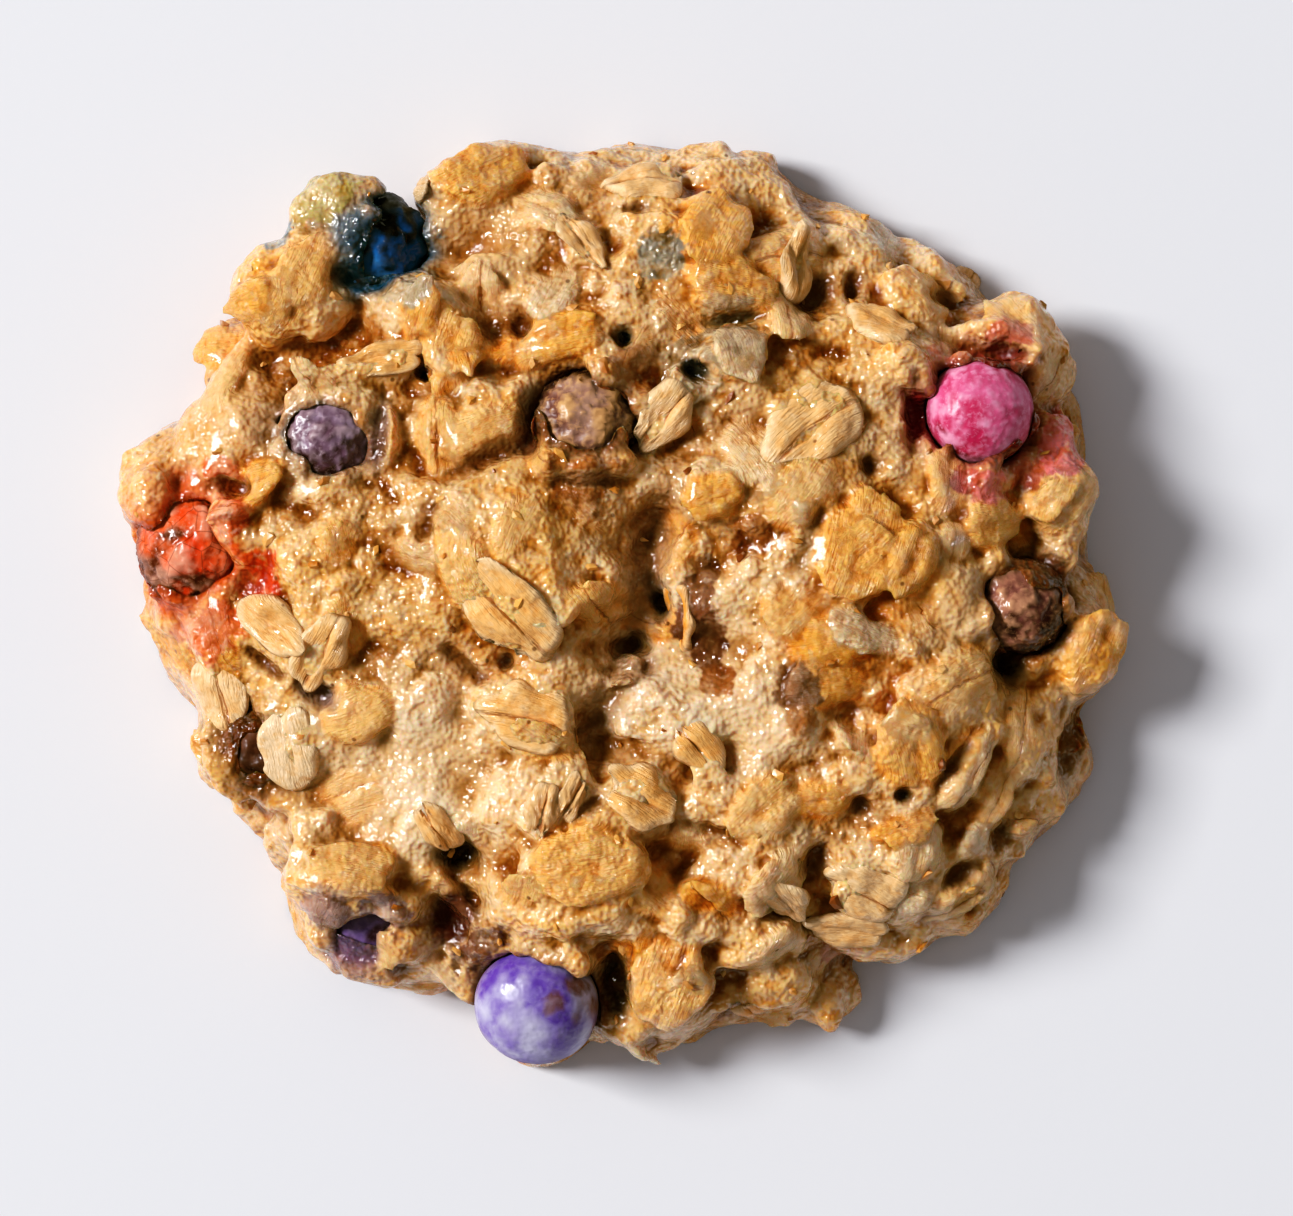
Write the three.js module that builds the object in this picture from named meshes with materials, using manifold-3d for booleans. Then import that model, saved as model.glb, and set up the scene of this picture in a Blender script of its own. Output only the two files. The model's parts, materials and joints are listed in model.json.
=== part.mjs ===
// An oatmeal breakfast cookie: a craggy baked mound of dough and rolled oats on a flat base,
// with sugar-shelled chocolate candies half sunk in its top and round its rim.
// Millimetres, +Z up, origin at the middle of the base.
import * as THREE from "three";
import { mergeVertices } from "three/addons/utils/BufferGeometryUtils.js";
import Module from "manifold-3d";

const wasm = await Module();
wasm.setup();

// Driving dimensions of the dough
const COOKIE_WIDTH = 76.8; // along X, before the lobes of the rim
const COOKIE_DEPTH = 71.6; // along Y
const DOUGH_HEIGHT = 13.2; // base to crown, before the swells and flakes
const CROWN_FLATNESS = 4; // how far out the crown stays level
const SIDE_ROUNDING = 0.58; // how steeply the side comes down to the base

// Driving dimensions of what is set in it
const FLAKE_LENGTH = 6.8; // a common rolled oat
const FLAKE_WIDTH = 4.7;
const FLAKE_THICKNESS = 1.5; // an oat with the dough baked onto it
const GROOVE_DEPTH = 0.35; // of an oat's thickness
const GROOVE_WIDTH = 0.3; // of half its width
const SHELL_GAP = 0.3; // between a candy and the dough round it

// Fineness of the facets
const CORE_DETAIL = 12;
const SIDE_STEPS = 200;
const FLAKE_SIDES = 8;
const FLAKE_ROWS = 3;
const LUMP_DETAIL = 1;
const CANDY_SIDES = 14;
const CANDY_ROWS = 9;
const MERGE_GAP = 1e-4;
const SLOPE_STEP = 0.4; // distance over which the surface's slope is taken
const SLOPE_INSET = 0.995; // keeps the slope at the rim from being taken past it

// The rim's lobes and notches: bearing in degrees from +X, reach in or out, half spread in degrees
const RIM_LOBES = [
  { bearing: -4, reach: 0.8, spread: 4 },
  { bearing: 6, reach: -2, spread: 3.5 },
  { bearing: 29, reach: 1.6, spread: 8 },
  { bearing: 63, reach: -1, spread: 7 },
  { bearing: 73, reach: 1.4, spread: 2.4 },
  { bearing: 84, reach: 1.2, spread: 6 },
  { bearing: 104, reach: 1.9, spread: 6 },
  { bearing: 117, reach: -4.6, spread: 2.4 },
  { bearing: 127, reach: 3.5, spread: 6 },
  { bearing: 144, reach: 0.4, spread: 4 },
  { bearing: 166, reach: 3.2, spread: 5 },
  { bearing: 192, reach: -2.2, spread: 8 },
  { bearing: 211, reach: -3.3, spread: 9 },
  { bearing: 236, reach: -1.4, spread: 9 },
  { bearing: 249, reach: -2.4, spread: 3 },
  { bearing: 259, reach: 2.2, spread: 4 },
  { bearing: 286, reach: -1.8, spread: 5 },
  { bearing: 301, reach: -2.8, spread: 6 },
  { bearing: 319, reach: 2.4, spread: 3.5 },
  { bearing: 337, reach: 1.4, spread: 7 },
  { bearing: 347, reach: -1.6, spread: 2.5 },
];

// Broad swells and hollows of the crown: place, rise, half width
const SWELLS = [
  { x: -8, y: 4.5, rise: 1.5, spread: 7 }, // mound left of the middle
  { x: 3, y: -1.5, rise: -1.9, spread: 4 }, // smooth hollow in the middle
  { x: -2, y: -9.5, rise: -1.5, spread: 3 }, // valley running down from it
  { x: 18, y: 3, rise: 1.1, spread: 7 },
  { x: 22, y: -16, rise: 0.9, spread: 7 },
  { x: -18, y: -13, rise: -0.9, spread: 6 }, // smooth lower left
  { x: -13, y: -21, rise: -2.4, spread: 2.6 }, // pit above the violet candy
  { x: -9, y: 21.5, rise: -1.9, spread: 3 }, // pit behind the brown candy
  { x: -3, y: -20, rise: 1.2, spread: 4.5 },
  { x: 2, y: 30, rise: 1, spread: 6 },
];

// Crags in the dough: rounded lumps that stand out of the rim and crown
const CRAGS = [
  { x: 35, y: -3.4, z: 5, size: [3.3, 4.6, 4] }, // right-hand lump
  { x: -11.2, y: 31.6, z: 5.6, size: [5.4, 3.9, 4] }, // top left
  { x: -22.2, y: 30.2, z: 7.2, size: [3.6, 4.2, 3.6] }, // hood over the blue candy
  { x: -26, y: 24, z: 7.4, size: [5, 4.2, 3.6] },
  { x: -36, y: 8.8, z: 6, size: [3.8, 4, 3.8] }, // beside the orange candy
  { x: -29.6, y: 13.6, z: 7.4, size: [4.4, 4, 3.6] },
  { x: 33.2, y: 8.8, z: 7, size: [3.4, 4, 4] }, // between the two right-hand candies
  { x: 30.4, y: 20.4, z: 5.4, size: [4.2, 3.8, 4] },
  { x: -21.6, y: -22, z: 8.2, size: [4.8, 3, 2.8] }, // ledge over the hidden purple candy
  { x: 16.2, y: -31.4, z: 1.4, size: [2.2, 3.2, 1.8] }, // drip at the base
];

// Oats that show plainly: place, length, width, turn of the long axis in degrees from +X
const PLAIN_FLAKES = [
  { x: 1.8, y: 32.8, length: 6.3, width: 4.2, turn: 0 },
  { x: -3.4, y: 28, length: 5.8, width: 2.6, turn: -55 },
  { x: 7.4, y: 28.6, length: 7.2, width: 5.2, turn: 60 },
  { x: 12.4, y: 27, length: 6.6, width: 4.6, turn: 15 },
  { x: 8.2, y: 24.4, length: 7, width: 4.6, turn: 10 },
  { x: -5.4, y: 20.2, length: 8.4, width: 3.4, turn: 16 },
  { x: -13.4, y: 19.6, length: 6.6, width: 4.4, turn: 75 },
  { x: -18.4, y: 18.6, length: 6.4, width: 3, turn: 8 },
  { x: -10.6, y: 13, length: 7.4, width: 3.2, turn: 24 },
  { x: 2.9, y: 14.1, length: 6.2, width: 4, turn: 48 },
  { x: 14.5, y: 13.6, length: 8.4, width: 6.2, turn: 40 },
  { x: 18.4, y: 3.6, length: 9.4, width: 6.2, turn: 72 },
  { x: 16.2, y: -2.8, length: 7.2, width: 3.8, turn: 14 },
  { x: -9, y: -0.4, length: 10.2, width: 6.2, turn: -48 },
  { x: -12.2, y: 2.6, length: 7, width: 3.6, turn: -75 },
  { x: -7.4, y: -8.8, length: 7.2, width: 5.2, turn: -14 },
  { x: -6.2, y: -16, length: 4.4, width: 2.8, turn: 75 },
  { x: -4, y: -14.9, length: 4.2, width: 2.4, turn: 58 },
  { x: 1.2, y: -14.9, length: 6.2, width: 4.8, turn: -30 },
  { x: 5.6, y: -11, length: 5.6, width: 3.2, turn: -45 },
  { x: 21.9, y: -10.8, length: 6.9, width: 5.4, turn: -70 },
  { x: -31.5, y: -7.2, length: 6.6, width: 5.2, turn: 98 },
  { x: -26, y: -11.4, length: 7, width: 5.2, turn: 100 },
  { x: -27, y: -1.8, length: 7.4, width: 3.6, turn: -36 },
  { x: -23.4, y: -3.8, length: 7, width: 3.8, turn: 62 },
  { x: 3.2, y: -29.6, length: 7.8, width: 6.6, turn: 70 },
  { x: -2.8, y: -20.4, length: 8.2, width: 5.6, turn: 8 },
  { x: 18.4, y: -22.8, length: 6.4, width: 5, turn: -30 },
  { x: 17, y: -25.8, length: 7, width: 3, turn: -8 },
  { x: 26.6, y: -13.2, length: 7, width: 3, turn: 55 },
  { x: 28.8, y: -15.2, length: 6.8, width: 2.8, turn: 60 },
  { x: 22.4, y: -19.4, length: 5.6, width: 4.4, turn: 78 },
  { x: 34, y: 8, length: 5.8, width: 4.2, turn: 45 },
  { x: 10.4, y: 35, length: 5, width: 3.6, turn: 70 },
];

// Oats laid by rule between the plain ones, and round the side
const SCATTER_SEED = 41;
const CROWN_SCATTER = 42;
const SIDE_SCATTER = 20;
const SCATTER_CLEAR = 3.4; // least distance from a plain flake's middle
const CROWN_SHARE = 0.94; // of the way out to the rim
const SIDE_SHARE = 0.95;
const SIDE_SPREAD = 0.03; // how unevenly the ones on the side stand out
const SIDE_STAGGER = 0.4; // and along the rim, as a share of the step between them
const LEAST_SIZE = 0.75; // of a common oat
const SIZE_RANGE = 0.5;
const MOST_TILT = 0.42; // radians
const MOST_LIFT = 0.45; // off the dough
const PLAIN_LIFT = 0.35;
const GOLDEN_ANGLE = Math.PI * (3 - Math.sqrt(5));

// Candies: place, radius, half thickness, depth of the middle below the dough, lean and its bearing
const CANDIES = [
  { name: "candy_pink", x: 27.6, y: 14.8, radius: 4.35, half: 3.5, sink: -0.2, lean: 16, toward: 30 },
  { name: "candy_purple", x: -6.9, y: -31.6, radius: 5, half: 3.9, sink: 0.6, lean: 28, toward: 258 },
  { name: "candy_orange", x: -34, y: 4.4, radius: 4.6, half: 3.6, sink: 0.4, lean: 24, toward: 175 },
  { name: "candy_blue", x: -19.4, y: 28.2, radius: 4.2, half: 3.4, sink: 0.9, lean: 20, toward: 60 },
  { name: "candy_brown_top", x: -3.1, y: 13.9, radius: 4.1, half: 3.3, sink: 0.7, lean: 8, toward: 90 },
  { name: "candy_violet", x: -23.1, y: 12.8, radius: 3.9, half: 3.2, sink: 1.2, lean: 14, toward: 150 },
  { name: "candy_brown_side", x: 31, y: -0.4, radius: 3.9, half: 3.2, sink: 0.9, lean: 30, toward: 0 },
  { name: "candy_purple_low", x: -20.6, y: -25.8, radius: 3.9, half: 3.1, sink: 1.1, lean: 46, toward: 230 },
  { name: "candy_dark", x: -28.2, y: -11.6, radius: 3.9, half: 3.1, sink: 1.9, lean: 12, toward: 200 },
];

// The fine unevenness of the dough: two sizes of ripple, each a sum of waves in seeded directions
const RIPPLE_SEED = 7;
const RIPPLES = [
  { length: 8, depth: 0.42, waves: 5 },
  { length: 4.6, depth: 0.26, waves: 6 },
];
const CRAG_RIPPLE = 0.6; // how much of it the crags show

const COLOURS = {
  dough: "#d9a866",
  candy_pink: "#cf5a80",
  candy_purple: "#8f72b5",
  candy_orange: "#b5523a",
  candy_blue: "#2f4a5c",
  candy_brown_top: "#6b4636",
  candy_violet: "#76605f",
  candy_brown_side: "#6b4038",
  candy_purple_low: "#6a4a78",
  candy_dark: "#4a2a22",
};
const DOUGH_ROUGHNESS = 0.6;
const SHELL_ROUGHNESS = 0.45;

const BASE_NORMAL = new THREE.Vector3(0, 0, 1);
const degrees = THREE.MathUtils.degToRad;

// A repeatable stream of numbers from 0 to 1
function seededRandom(seed) {
  let state = seed >>> 0;
  return () => {
    state = (state + 0x6d2b79f5) >>> 0;
    let t = Math.imul(state ^ (state >>> 15), state | 1);
    t = (t + Math.imul(t ^ (t >>> 7), t | 61)) ^ t;
    return ((t ^ (t >>> 14)) >>> 0) / 4294967296;
  };
}

// How far the base reaches from the middle at a bearing: an ellipse with lobes and notches
function rimReach(bearing) {
  const halfWidth = COOKIE_WIDTH / 2;
  const halfDepth = COOKIE_DEPTH / 2;
  const across = halfDepth * Math.cos(bearing);
  const along = halfWidth * Math.sin(bearing);
  let reach = (halfWidth * halfDepth) / Math.hypot(across, along);
  for (const lobe of RIM_LOBES) {
    const turn = bearing - degrees(lobe.bearing);
    const away = Math.atan2(Math.sin(turn), Math.cos(turn)) / degrees(lobe.spread);
    reach += lobe.reach * Math.exp(-away * away);
  }
  return reach;
}

// Height of the dough above the base at a place, with its broad swells
function doughTop(x, y) {
  const share = Math.hypot(x, y) / rimReach(Math.atan2(y, x));
  if (share >= 1) return 0;
  const crown = (1 - share ** CROWN_FLATNESS) ** SIDE_ROUNDING;
  let swell = 0;
  for (const { x: sx, y: sy, rise, spread } of SWELLS) {
    swell += rise * Math.exp(-((x - sx) ** 2 + (y - sy) ** 2) / spread ** 2);
  }
  return crown * (DOUGH_HEIGHT + swell);
}

// Outward direction of the dough's surface at a place on the crown or side
function doughNormal(x, y) {
  const slopeX = (doughTop(x + SLOPE_STEP, y) - doughTop(x - SLOPE_STEP, y)) / (2 * SLOPE_STEP);
  const slopeY = (doughTop(x, y + SLOPE_STEP) - doughTop(x, y - SLOPE_STEP)) / (2 * SLOPE_STEP);
  return new THREE.Vector3(-slopeX, -slopeY, 1).normalize();
}

// The waves of the ripples, drawn once
function rippleWaves() {
  const random = seededRandom(RIPPLE_SEED);
  return RIPPLES.flatMap(({ length, depth, waves }) =>
    Array.from({ length: waves }, () => {
      const heading = 2 * Math.PI * random();
      const rise = 2 * random() - 1;
      const level = Math.sqrt(1 - rise * rise);
      const way = new THREE.Vector3(level * Math.cos(heading), level * Math.sin(heading), rise);
      const phase = 2 * Math.PI * random();
      return { way: way.multiplyScalar((2 * Math.PI) / length), phase, depth };
    }),
  );
}

const WAVES = rippleWaves();

function ripple(point) {
  return WAVES.reduce((sum, { way, phase, depth }) => sum + depth * Math.sin(way.dot(point) + phase), 0);
}

// A geometry with its seams merged
function weldedGeometry(geometry) {
  const bare = geometry.clone();
  bare.deleteAttribute("normal");
  bare.deleteAttribute("uv");
  return mergeVertices(bare, MERGE_GAP);
}

// A closed geometry as a solid, without collapsed faces
function solidOf(geometry) {
  const welded = weldedGeometry(geometry);
  const corners = welded.index.array;
  const triangles = [];
  for (let i = 0; i < corners.length; i += 3) {
    const [a, b, c] = corners.subarray(i, i + 3);
    if (a !== b && b !== c && a !== c) triangles.push(a, b, c);
  }
  return new wasm.Manifold(
    new wasm.Mesh({
      numProp: 3,
      vertProperties: new Float32Array(welded.attributes.position.array),
      triVerts: new Uint32Array(triangles),
    }),
  );
}

// A solid's surface as a geometry
function geometryOf(solid) {
  const mesh = solid.getMesh();
  const geometry = new THREE.BufferGeometry();
  geometry.setAttribute("position", new THREE.BufferAttribute(mesh.vertProperties, 3));
  geometry.setIndex(new THREE.BufferAttribute(mesh.triVerts, 1));
  geometry.computeVertexNormals();
  return geometry;
}

// The dough: an evenly meshed ball whose upper half is drawn out to the rim and the crown's height
// and roughened; its lower half hangs under the base, to be cut off flat
function doughCore() {
  const steps = Array.from({ length: SIDE_STEPS + 1 }, (_, i) => {
    const share = Math.sin((Math.PI / 2) * (i / SIDE_STEPS));
    const rise = (1 - share ** CROWN_FLATNESS) ** SIDE_ROUNDING;
    return new THREE.Vector2((share * COOKIE_WIDTH) / 2, rise * DOUGH_HEIGHT);
  });
  const side = new THREE.SplineCurve(steps);
  const geometry = weldedGeometry(new THREE.IcosahedronGeometry(1, CORE_DETAIL));
  const position = geometry.getAttribute("position");
  const point = new THREE.Vector3();
  for (let i = 0; i < position.count; i++) {
    point.fromBufferAttribute(position, i);
    const bearing = Math.atan2(point.y, point.x);
    const below = Math.min(point.z, 0);
    const wayOut = Math.acos(point.z) / (Math.PI / 2);
    const share = below < 0 ? Math.sqrt(1 - below * below) : (2 * side.getPointAt(wayOut).x) / COOKIE_WIDTH;
    const reach = share * rimReach(bearing);
    point.set(reach * Math.cos(bearing), reach * Math.sin(bearing), below * DOUGH_HEIGHT);
    if (below === 0) {
      point.z = doughTop(point.x, point.y);
    }
    point.addScaledVector(doughNormal(point.x * SLOPE_INSET, point.y * SLOPE_INSET), ripple(point));
    position.setXYZ(i, point.x, point.y, point.z);
  }
  return solidOf(geometry);
}

// An oat: a thin oval lens with a groove along it, its middle at the origin
function flakeGeometry(length, width) {
  const geometry = new THREE.SphereGeometry(1, FLAKE_SIDES, FLAKE_ROWS).rotateX(Math.PI / 2);
  geometry.scale(length / 2, width / 2, FLAKE_THICKNESS / 2);
  const position = geometry.getAttribute("position");
  for (let i = 0; i < position.count; i++) {
    const across = position.getY(i) / (width / 2);
    const groove = GROOVE_DEPTH * FLAKE_THICKNESS * Math.exp(-((across / GROOVE_WIDTH) ** 2));
    if (position.getZ(i) > 0) position.setZ(i, position.getZ(i) - groove);
  }
  return geometry;
}

// An oat lying on the dough, turned about the surface and tipped up at one side
function flakeOnDough({ x, y, length, width, turn }, tiltX, tiltY, lift) {
  const normal = doughNormal(x, y);
  const place = new THREE.Vector3(x, y, doughTop(x, y)).addScaledVector(normal, lift);
  const lie = new THREE.Quaternion().setFromUnitVectors(BASE_NORMAL, normal);
  const tip = new THREE.Quaternion().setFromEuler(new THREE.Euler(tiltX, tiltY, degrees(turn), "ZYX"));
  const pose = new THREE.Matrix4().compose(place, lie.multiply(tip), new THREE.Vector3(1, 1, 1));
  return solidOf(flakeGeometry(length, width).applyMatrix4(pose));
}

// Every oat: the plain ones, then those laid by rule over the crown and round the side
function oatFlakes() {
  const random = seededRandom(SCATTER_SEED);
  const tilt = () => MOST_TILT * (2 * random() - 1);
  const lift = () => MOST_LIFT * random();
  const size = () => LEAST_SIZE + SIZE_RANGE * random();
  const flakes = PLAIN_FLAKES.map((flake) => flakeOnDough(flake, tilt() / 2, tilt() / 2, PLAIN_LIFT));
  const layAt = (share, bearing) => {
    const reach = share * rimReach(bearing);
    const flake = {
      x: reach * Math.cos(bearing),
      y: reach * Math.sin(bearing),
      length: FLAKE_LENGTH * size(),
      width: FLAKE_WIDTH * size(),
      turn: 360 * random(),
    };
    const pose = [tilt(), tilt(), lift()];
    const crowded = PLAIN_FLAKES.some(({ x, y }) => Math.hypot(x - flake.x, y - flake.y) < SCATTER_CLEAR);
    if (!crowded) flakes.push(flakeOnDough(flake, ...pose));
  };
  for (let i = 0; i < CROWN_SCATTER; i++) {
    layAt(CROWN_SHARE * Math.sqrt((i + 0.5) / CROWN_SCATTER), i * GOLDEN_ANGLE);
  }
  for (let i = 0; i < SIDE_SCATTER; i++) {
    const share = SIDE_SHARE + SIDE_SPREAD * (random() - 0.5);
    layAt(share, (2 * Math.PI * (i + SIDE_STAGGER * random())) / SIDE_SCATTER);
  }
  return flakes;
}

// A rounded lump of dough
function crag({ x, y, z, size }) {
  const geometry = weldedGeometry(new THREE.IcosahedronGeometry(1, LUMP_DETAIL));
  const position = geometry.getAttribute("position");
  const point = new THREE.Vector3();
  for (let i = 0; i < position.count; i++) {
    point.fromBufferAttribute(position, i).multiply(new THREE.Vector3(...size));
    const out = point.clone().normalize();
    point.add(new THREE.Vector3(x, y, z));
    point.addScaledVector(out, CRAG_RIPPLE * ripple(point));
    position.setXYZ(i, point.x, point.y, point.z);
  }
  return solidOf(geometry);
}

// A candy's flattened ball about its own middle, grown all round by a gap
function candyGeometry({ radius, half }, gap) {
  return new THREE.SphereGeometry(1, CANDY_SIDES, CANDY_ROWS)
    .rotateX(Math.PI / 2)
    .scale(radius + gap, radius + gap, half + gap);
}

// Sets an object where a candy sits in the dough, leaning as it lies
function seatCandy(object, { x, y, sink, lean, toward }) {
  const heading = degrees(toward);
  const hinge = new THREE.Vector3(-Math.sin(heading), Math.cos(heading), 0);
  object.position.set(x, y, doughTop(x, y) - sink);
  object.quaternion.setFromAxisAngle(hinge, degrees(lean));
  object.updateMatrix();
  return object;
}

// The hollow that a candy leaves in the dough
function candySocket(candy) {
  const seat = seatCandy(new THREE.Object3D(), candy);
  return solidOf(candyGeometry(candy, SHELL_GAP).applyMatrix4(seat.matrix));
}

// Dough, crags and oats fused, cut flat underneath, with a socket for each candy
function cookieBody() {
  const below = new THREE.BoxGeometry(2 * COOKIE_WIDTH, 2 * COOKIE_DEPTH, DOUGH_HEIGHT);
  below.translate(0, 0, -DOUGH_HEIGHT / 2);
  const lumps = [...CRAGS.map(crag), ...oatFlakes()];
  let body = lumps.reduce((whole, lump) => whole.add(lump), doughCore());
  body = body.subtract(solidOf(below));
  for (const candy of CANDIES) {
    body = body.subtract(candySocket(candy));
  }
  const pieces = body.decompose().sort((a, b) => b.volume() - a.volume());
  return geometryOf(pieces[0]);
}

function namedMesh(name, geometry, colour, roughness) {
  const material = new THREE.MeshStandardMaterial({ color: colour, roughness, metalness: 0 });
  const mesh = new THREE.Mesh(geometry, material);
  mesh.name = name;
  return mesh;
}

const cookie = new THREE.Group();
cookie.add(namedMesh("cookie", cookieBody(), COLOURS.dough, DOUGH_ROUGHNESS));
for (const candy of CANDIES) {
  const shell = namedMesh(candy.name, candyGeometry(candy, 0), COLOURS[candy.name], SHELL_ROUGHNESS);
  cookie.add(seatCandy(shell, candy));
}

export default cookie;
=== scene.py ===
import json
import math

import bmesh
import bpy
import numpy as np
from mathutils import Matrix, Vector
from mathutils.bvhtree import BVHTree

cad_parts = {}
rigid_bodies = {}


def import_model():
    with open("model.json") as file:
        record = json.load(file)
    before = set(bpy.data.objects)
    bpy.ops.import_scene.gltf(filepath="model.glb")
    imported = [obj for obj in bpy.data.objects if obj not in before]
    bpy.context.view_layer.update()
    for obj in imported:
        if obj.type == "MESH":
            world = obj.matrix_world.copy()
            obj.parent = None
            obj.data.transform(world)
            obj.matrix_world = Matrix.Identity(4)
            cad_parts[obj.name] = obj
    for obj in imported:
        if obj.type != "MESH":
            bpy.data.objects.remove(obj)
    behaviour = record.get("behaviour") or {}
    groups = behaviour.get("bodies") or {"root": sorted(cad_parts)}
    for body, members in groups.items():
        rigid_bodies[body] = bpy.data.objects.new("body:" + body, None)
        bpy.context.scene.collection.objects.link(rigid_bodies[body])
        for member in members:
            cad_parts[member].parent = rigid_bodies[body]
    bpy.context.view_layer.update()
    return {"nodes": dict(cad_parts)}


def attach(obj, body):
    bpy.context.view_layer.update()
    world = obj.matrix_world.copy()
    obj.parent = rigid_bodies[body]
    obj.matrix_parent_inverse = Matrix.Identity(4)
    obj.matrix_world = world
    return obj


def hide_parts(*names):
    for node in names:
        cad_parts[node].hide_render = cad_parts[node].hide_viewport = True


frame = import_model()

# Oat shapes
# Rolled oats are steamed groats pressed into thin ragged ovals, most with a crease along the middle.
# A few of them are shaped here at unit length, to be sunk in the dough and laid over it.
MM = 0.001
OAT_KINDS = 9
OAT_ROWS = 25
OAT_COLUMNS = 17
OAT_WIDTH = 0.7
OAT_THICKNESS = 0.19
OAT_SEED = 20


def put_values(mesh, label, value):
    """Stores one number, vector or colour for each vertex under a name."""
    value = np.asarray(value, np.float32)
    if label in mesh.attributes:
        mesh.attributes.remove(mesh.attributes[label])
    if value.ndim == 1:
        mesh.attributes.new(label, "FLOAT", "POINT").data.foreach_set("value", value)
    elif value.shape[1] == 3:
        mesh.attributes.new(label, "FLOAT_VECTOR", "POINT").data.foreach_set("vector", value.ravel())
    else:
        mesh.attributes.new(label, "FLOAT_COLOR", "POINT").data.foreach_set("color", value.ravel())


def new_mesh(name, points, triangles, values=None):
    """A mesh from arrays of points and triangles, with any named vertex values."""
    mesh = bpy.data.meshes.new(name)
    mesh.vertices.add(len(points))
    mesh.vertices.foreach_set("co", np.asarray(points, np.float32).ravel())
    mesh.loops.add(3 * len(triangles))
    mesh.loops.foreach_set("vertex_index", np.asarray(triangles, np.int32).ravel())
    mesh.polygons.add(len(triangles))
    mesh.polygons.foreach_set("loop_start", np.arange(0, 3 * len(triangles), 3, dtype=np.int32))
    mesh.update(calc_edges=True)
    for label, value in (values or {}).items():
        put_values(mesh, label, value)
    return mesh


def oat_shape(kind):
    """One oat: a ragged, curled oval with a crease, its upper face a grid and its lower one a fan."""
    draw = np.random.default_rng(OAT_SEED + kind)
    across, along = np.meshgrid(np.linspace(-1, 1, OAT_COLUMNS), np.linspace(-1, 1, OAT_ROWS))
    x = along * np.sqrt(1 - across**2 / 2)
    y = across * np.sqrt(1 - along**2 / 2)
    out = np.hypot(x, y)
    bearing = np.arctan2(y, x)
    ragged = np.ones_like(out)
    for wave in range(2, 8):
        ragged += draw.normal(0, 0.045) * np.cos(wave * bearing + draw.uniform(0, 6.28)) * out
    split = draw.uniform(0, 0.14)
    ragged -= split * np.exp(-((np.abs(bearing) / 0.14) ** 2)) * out**2
    x = 0.5 * x * ragged
    y = 0.5 * OAT_WIDTH * y * ragged
    sway = draw.uniform(-0.2, 0.2)
    crease_at = y - sway * (x**2 - 0.08) - draw.uniform(-0.05, 0.05)
    sharp = (1.0, 0.35, 0.8)[kind % 3]
    crease = np.exp(-((crease_at / 0.034) ** 2)) * np.clip(1.2 - (x / 0.46) ** 2, 0, 1) * sharp
    ridges = np.zeros_like(out)
    for ridge in range(6):
        at = draw.uniform(-0.26, 0.26) + draw.uniform(-0.3, 0.3) * x
        length = np.exp(-(((x - draw.uniform(-0.3, 0.3)) / draw.uniform(0.12, 0.4)) ** 2))
        ridges += draw.uniform(-0.6, 0.8) * np.exp(-(((y - at) / draw.uniform(0.035, 0.08)) ** 2)) * length
    rim = np.clip(1 - out**3.2, 0, 1) ** 0.55
    curl = draw.uniform(-0.25, 0.3) * x**2 + draw.uniform(-0.4, 0.45) * y**2
    warp = draw.normal(0, 0.14) * x * y + draw.normal(0, 0.02) * np.sin(9 * x + draw.uniform(0, 6))
    top = curl + warp + OAT_THICKNESS * rim * (0.66 + 0.36 * ridges - 0.5 * crease)
    top += 0.007 * rim * np.sin(48 * y + 6 * np.sin(7 * x + draw.uniform(0, 6)))
    points = np.stack([x, y, top], -1).reshape(-1, 3)
    number = np.arange(OAT_ROWS * OAT_COLUMNS).reshape(OAT_ROWS, OAT_COLUMNS)
    a, b, c, d = number[:-1, :-1], number[1:, :-1], number[1:, 1:], number[:-1, 1:]
    faces = np.concatenate([np.stack(corner, -1).reshape(-1, 3) for corner in ((a, b, c), (a, c, d))])
    edge = np.concatenate([number[0, :-1], number[:-1, -1], number[-1, :0:-1], number[:0:-1, 0]])
    under = len(points)
    points = np.vstack([points, [[0, 0, float(curl.min()) - 0.5 * OAT_THICKNESS]]])
    fan = np.stack([edge, np.roll(edge, -1), np.full(len(edge), under)], -1)
    values = {
        "oat_along": np.append(x.ravel() * 2, 0),
        "oat_across": np.append(crease_at.ravel() * 2 / OAT_WIDTH, 1),
        "oat_rim": np.append(out.ravel(), 1),
        "oat_crease": np.full(out.size + 1, (1.0, 0.1, 0.45)[kind % 3]),
    }
    mesh = new_mesh("oat_%d" % kind, points, np.vstack([faces, fan]), values)
    return bpy.data.objects.new("oat_%d" % kind, mesh)


def shape_collection(name, objects):
    """A collection outside the scene that holds shapes to be strewn."""
    collection = bpy.data.collections.new(name)
    for item in objects:
        collection.objects.link(item)
    return collection


oat_shapes = shape_collection("oat_shapes", [oat_shape(kind) for kind in range(OAT_KINDS)])

# Dough
# A moist batter of oat flour and egg, dropped in a heap on a tray and baked until it sets round the oats.
# It takes the solid's form, with lumps and sunken oats fused all over it into one craggy, glazed skin.
CORE_VOXEL = 0.45 * MM
BATTER_VOXEL = 0.33 * MM
SKIN_VOXEL = 0.27 * MM
MOST_TRIANGLES = 194000
SWELL = 0.35 * MM
GLAZED_HEIGHT = 7.6
ABOVE_ALL = 60
BLOB_KINDS = 5
# The solid's knob over the blue candy reaches too far: left of one line it is drawn in towards the other
CAP_RIGHT = -17 * MM
CAP_TOP = 33.4 * MM
CAP_DRAW = 0.85
CANDY_NAMES = sorted(name for name in frame["nodes"] if name.startswith("candy"))

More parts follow.
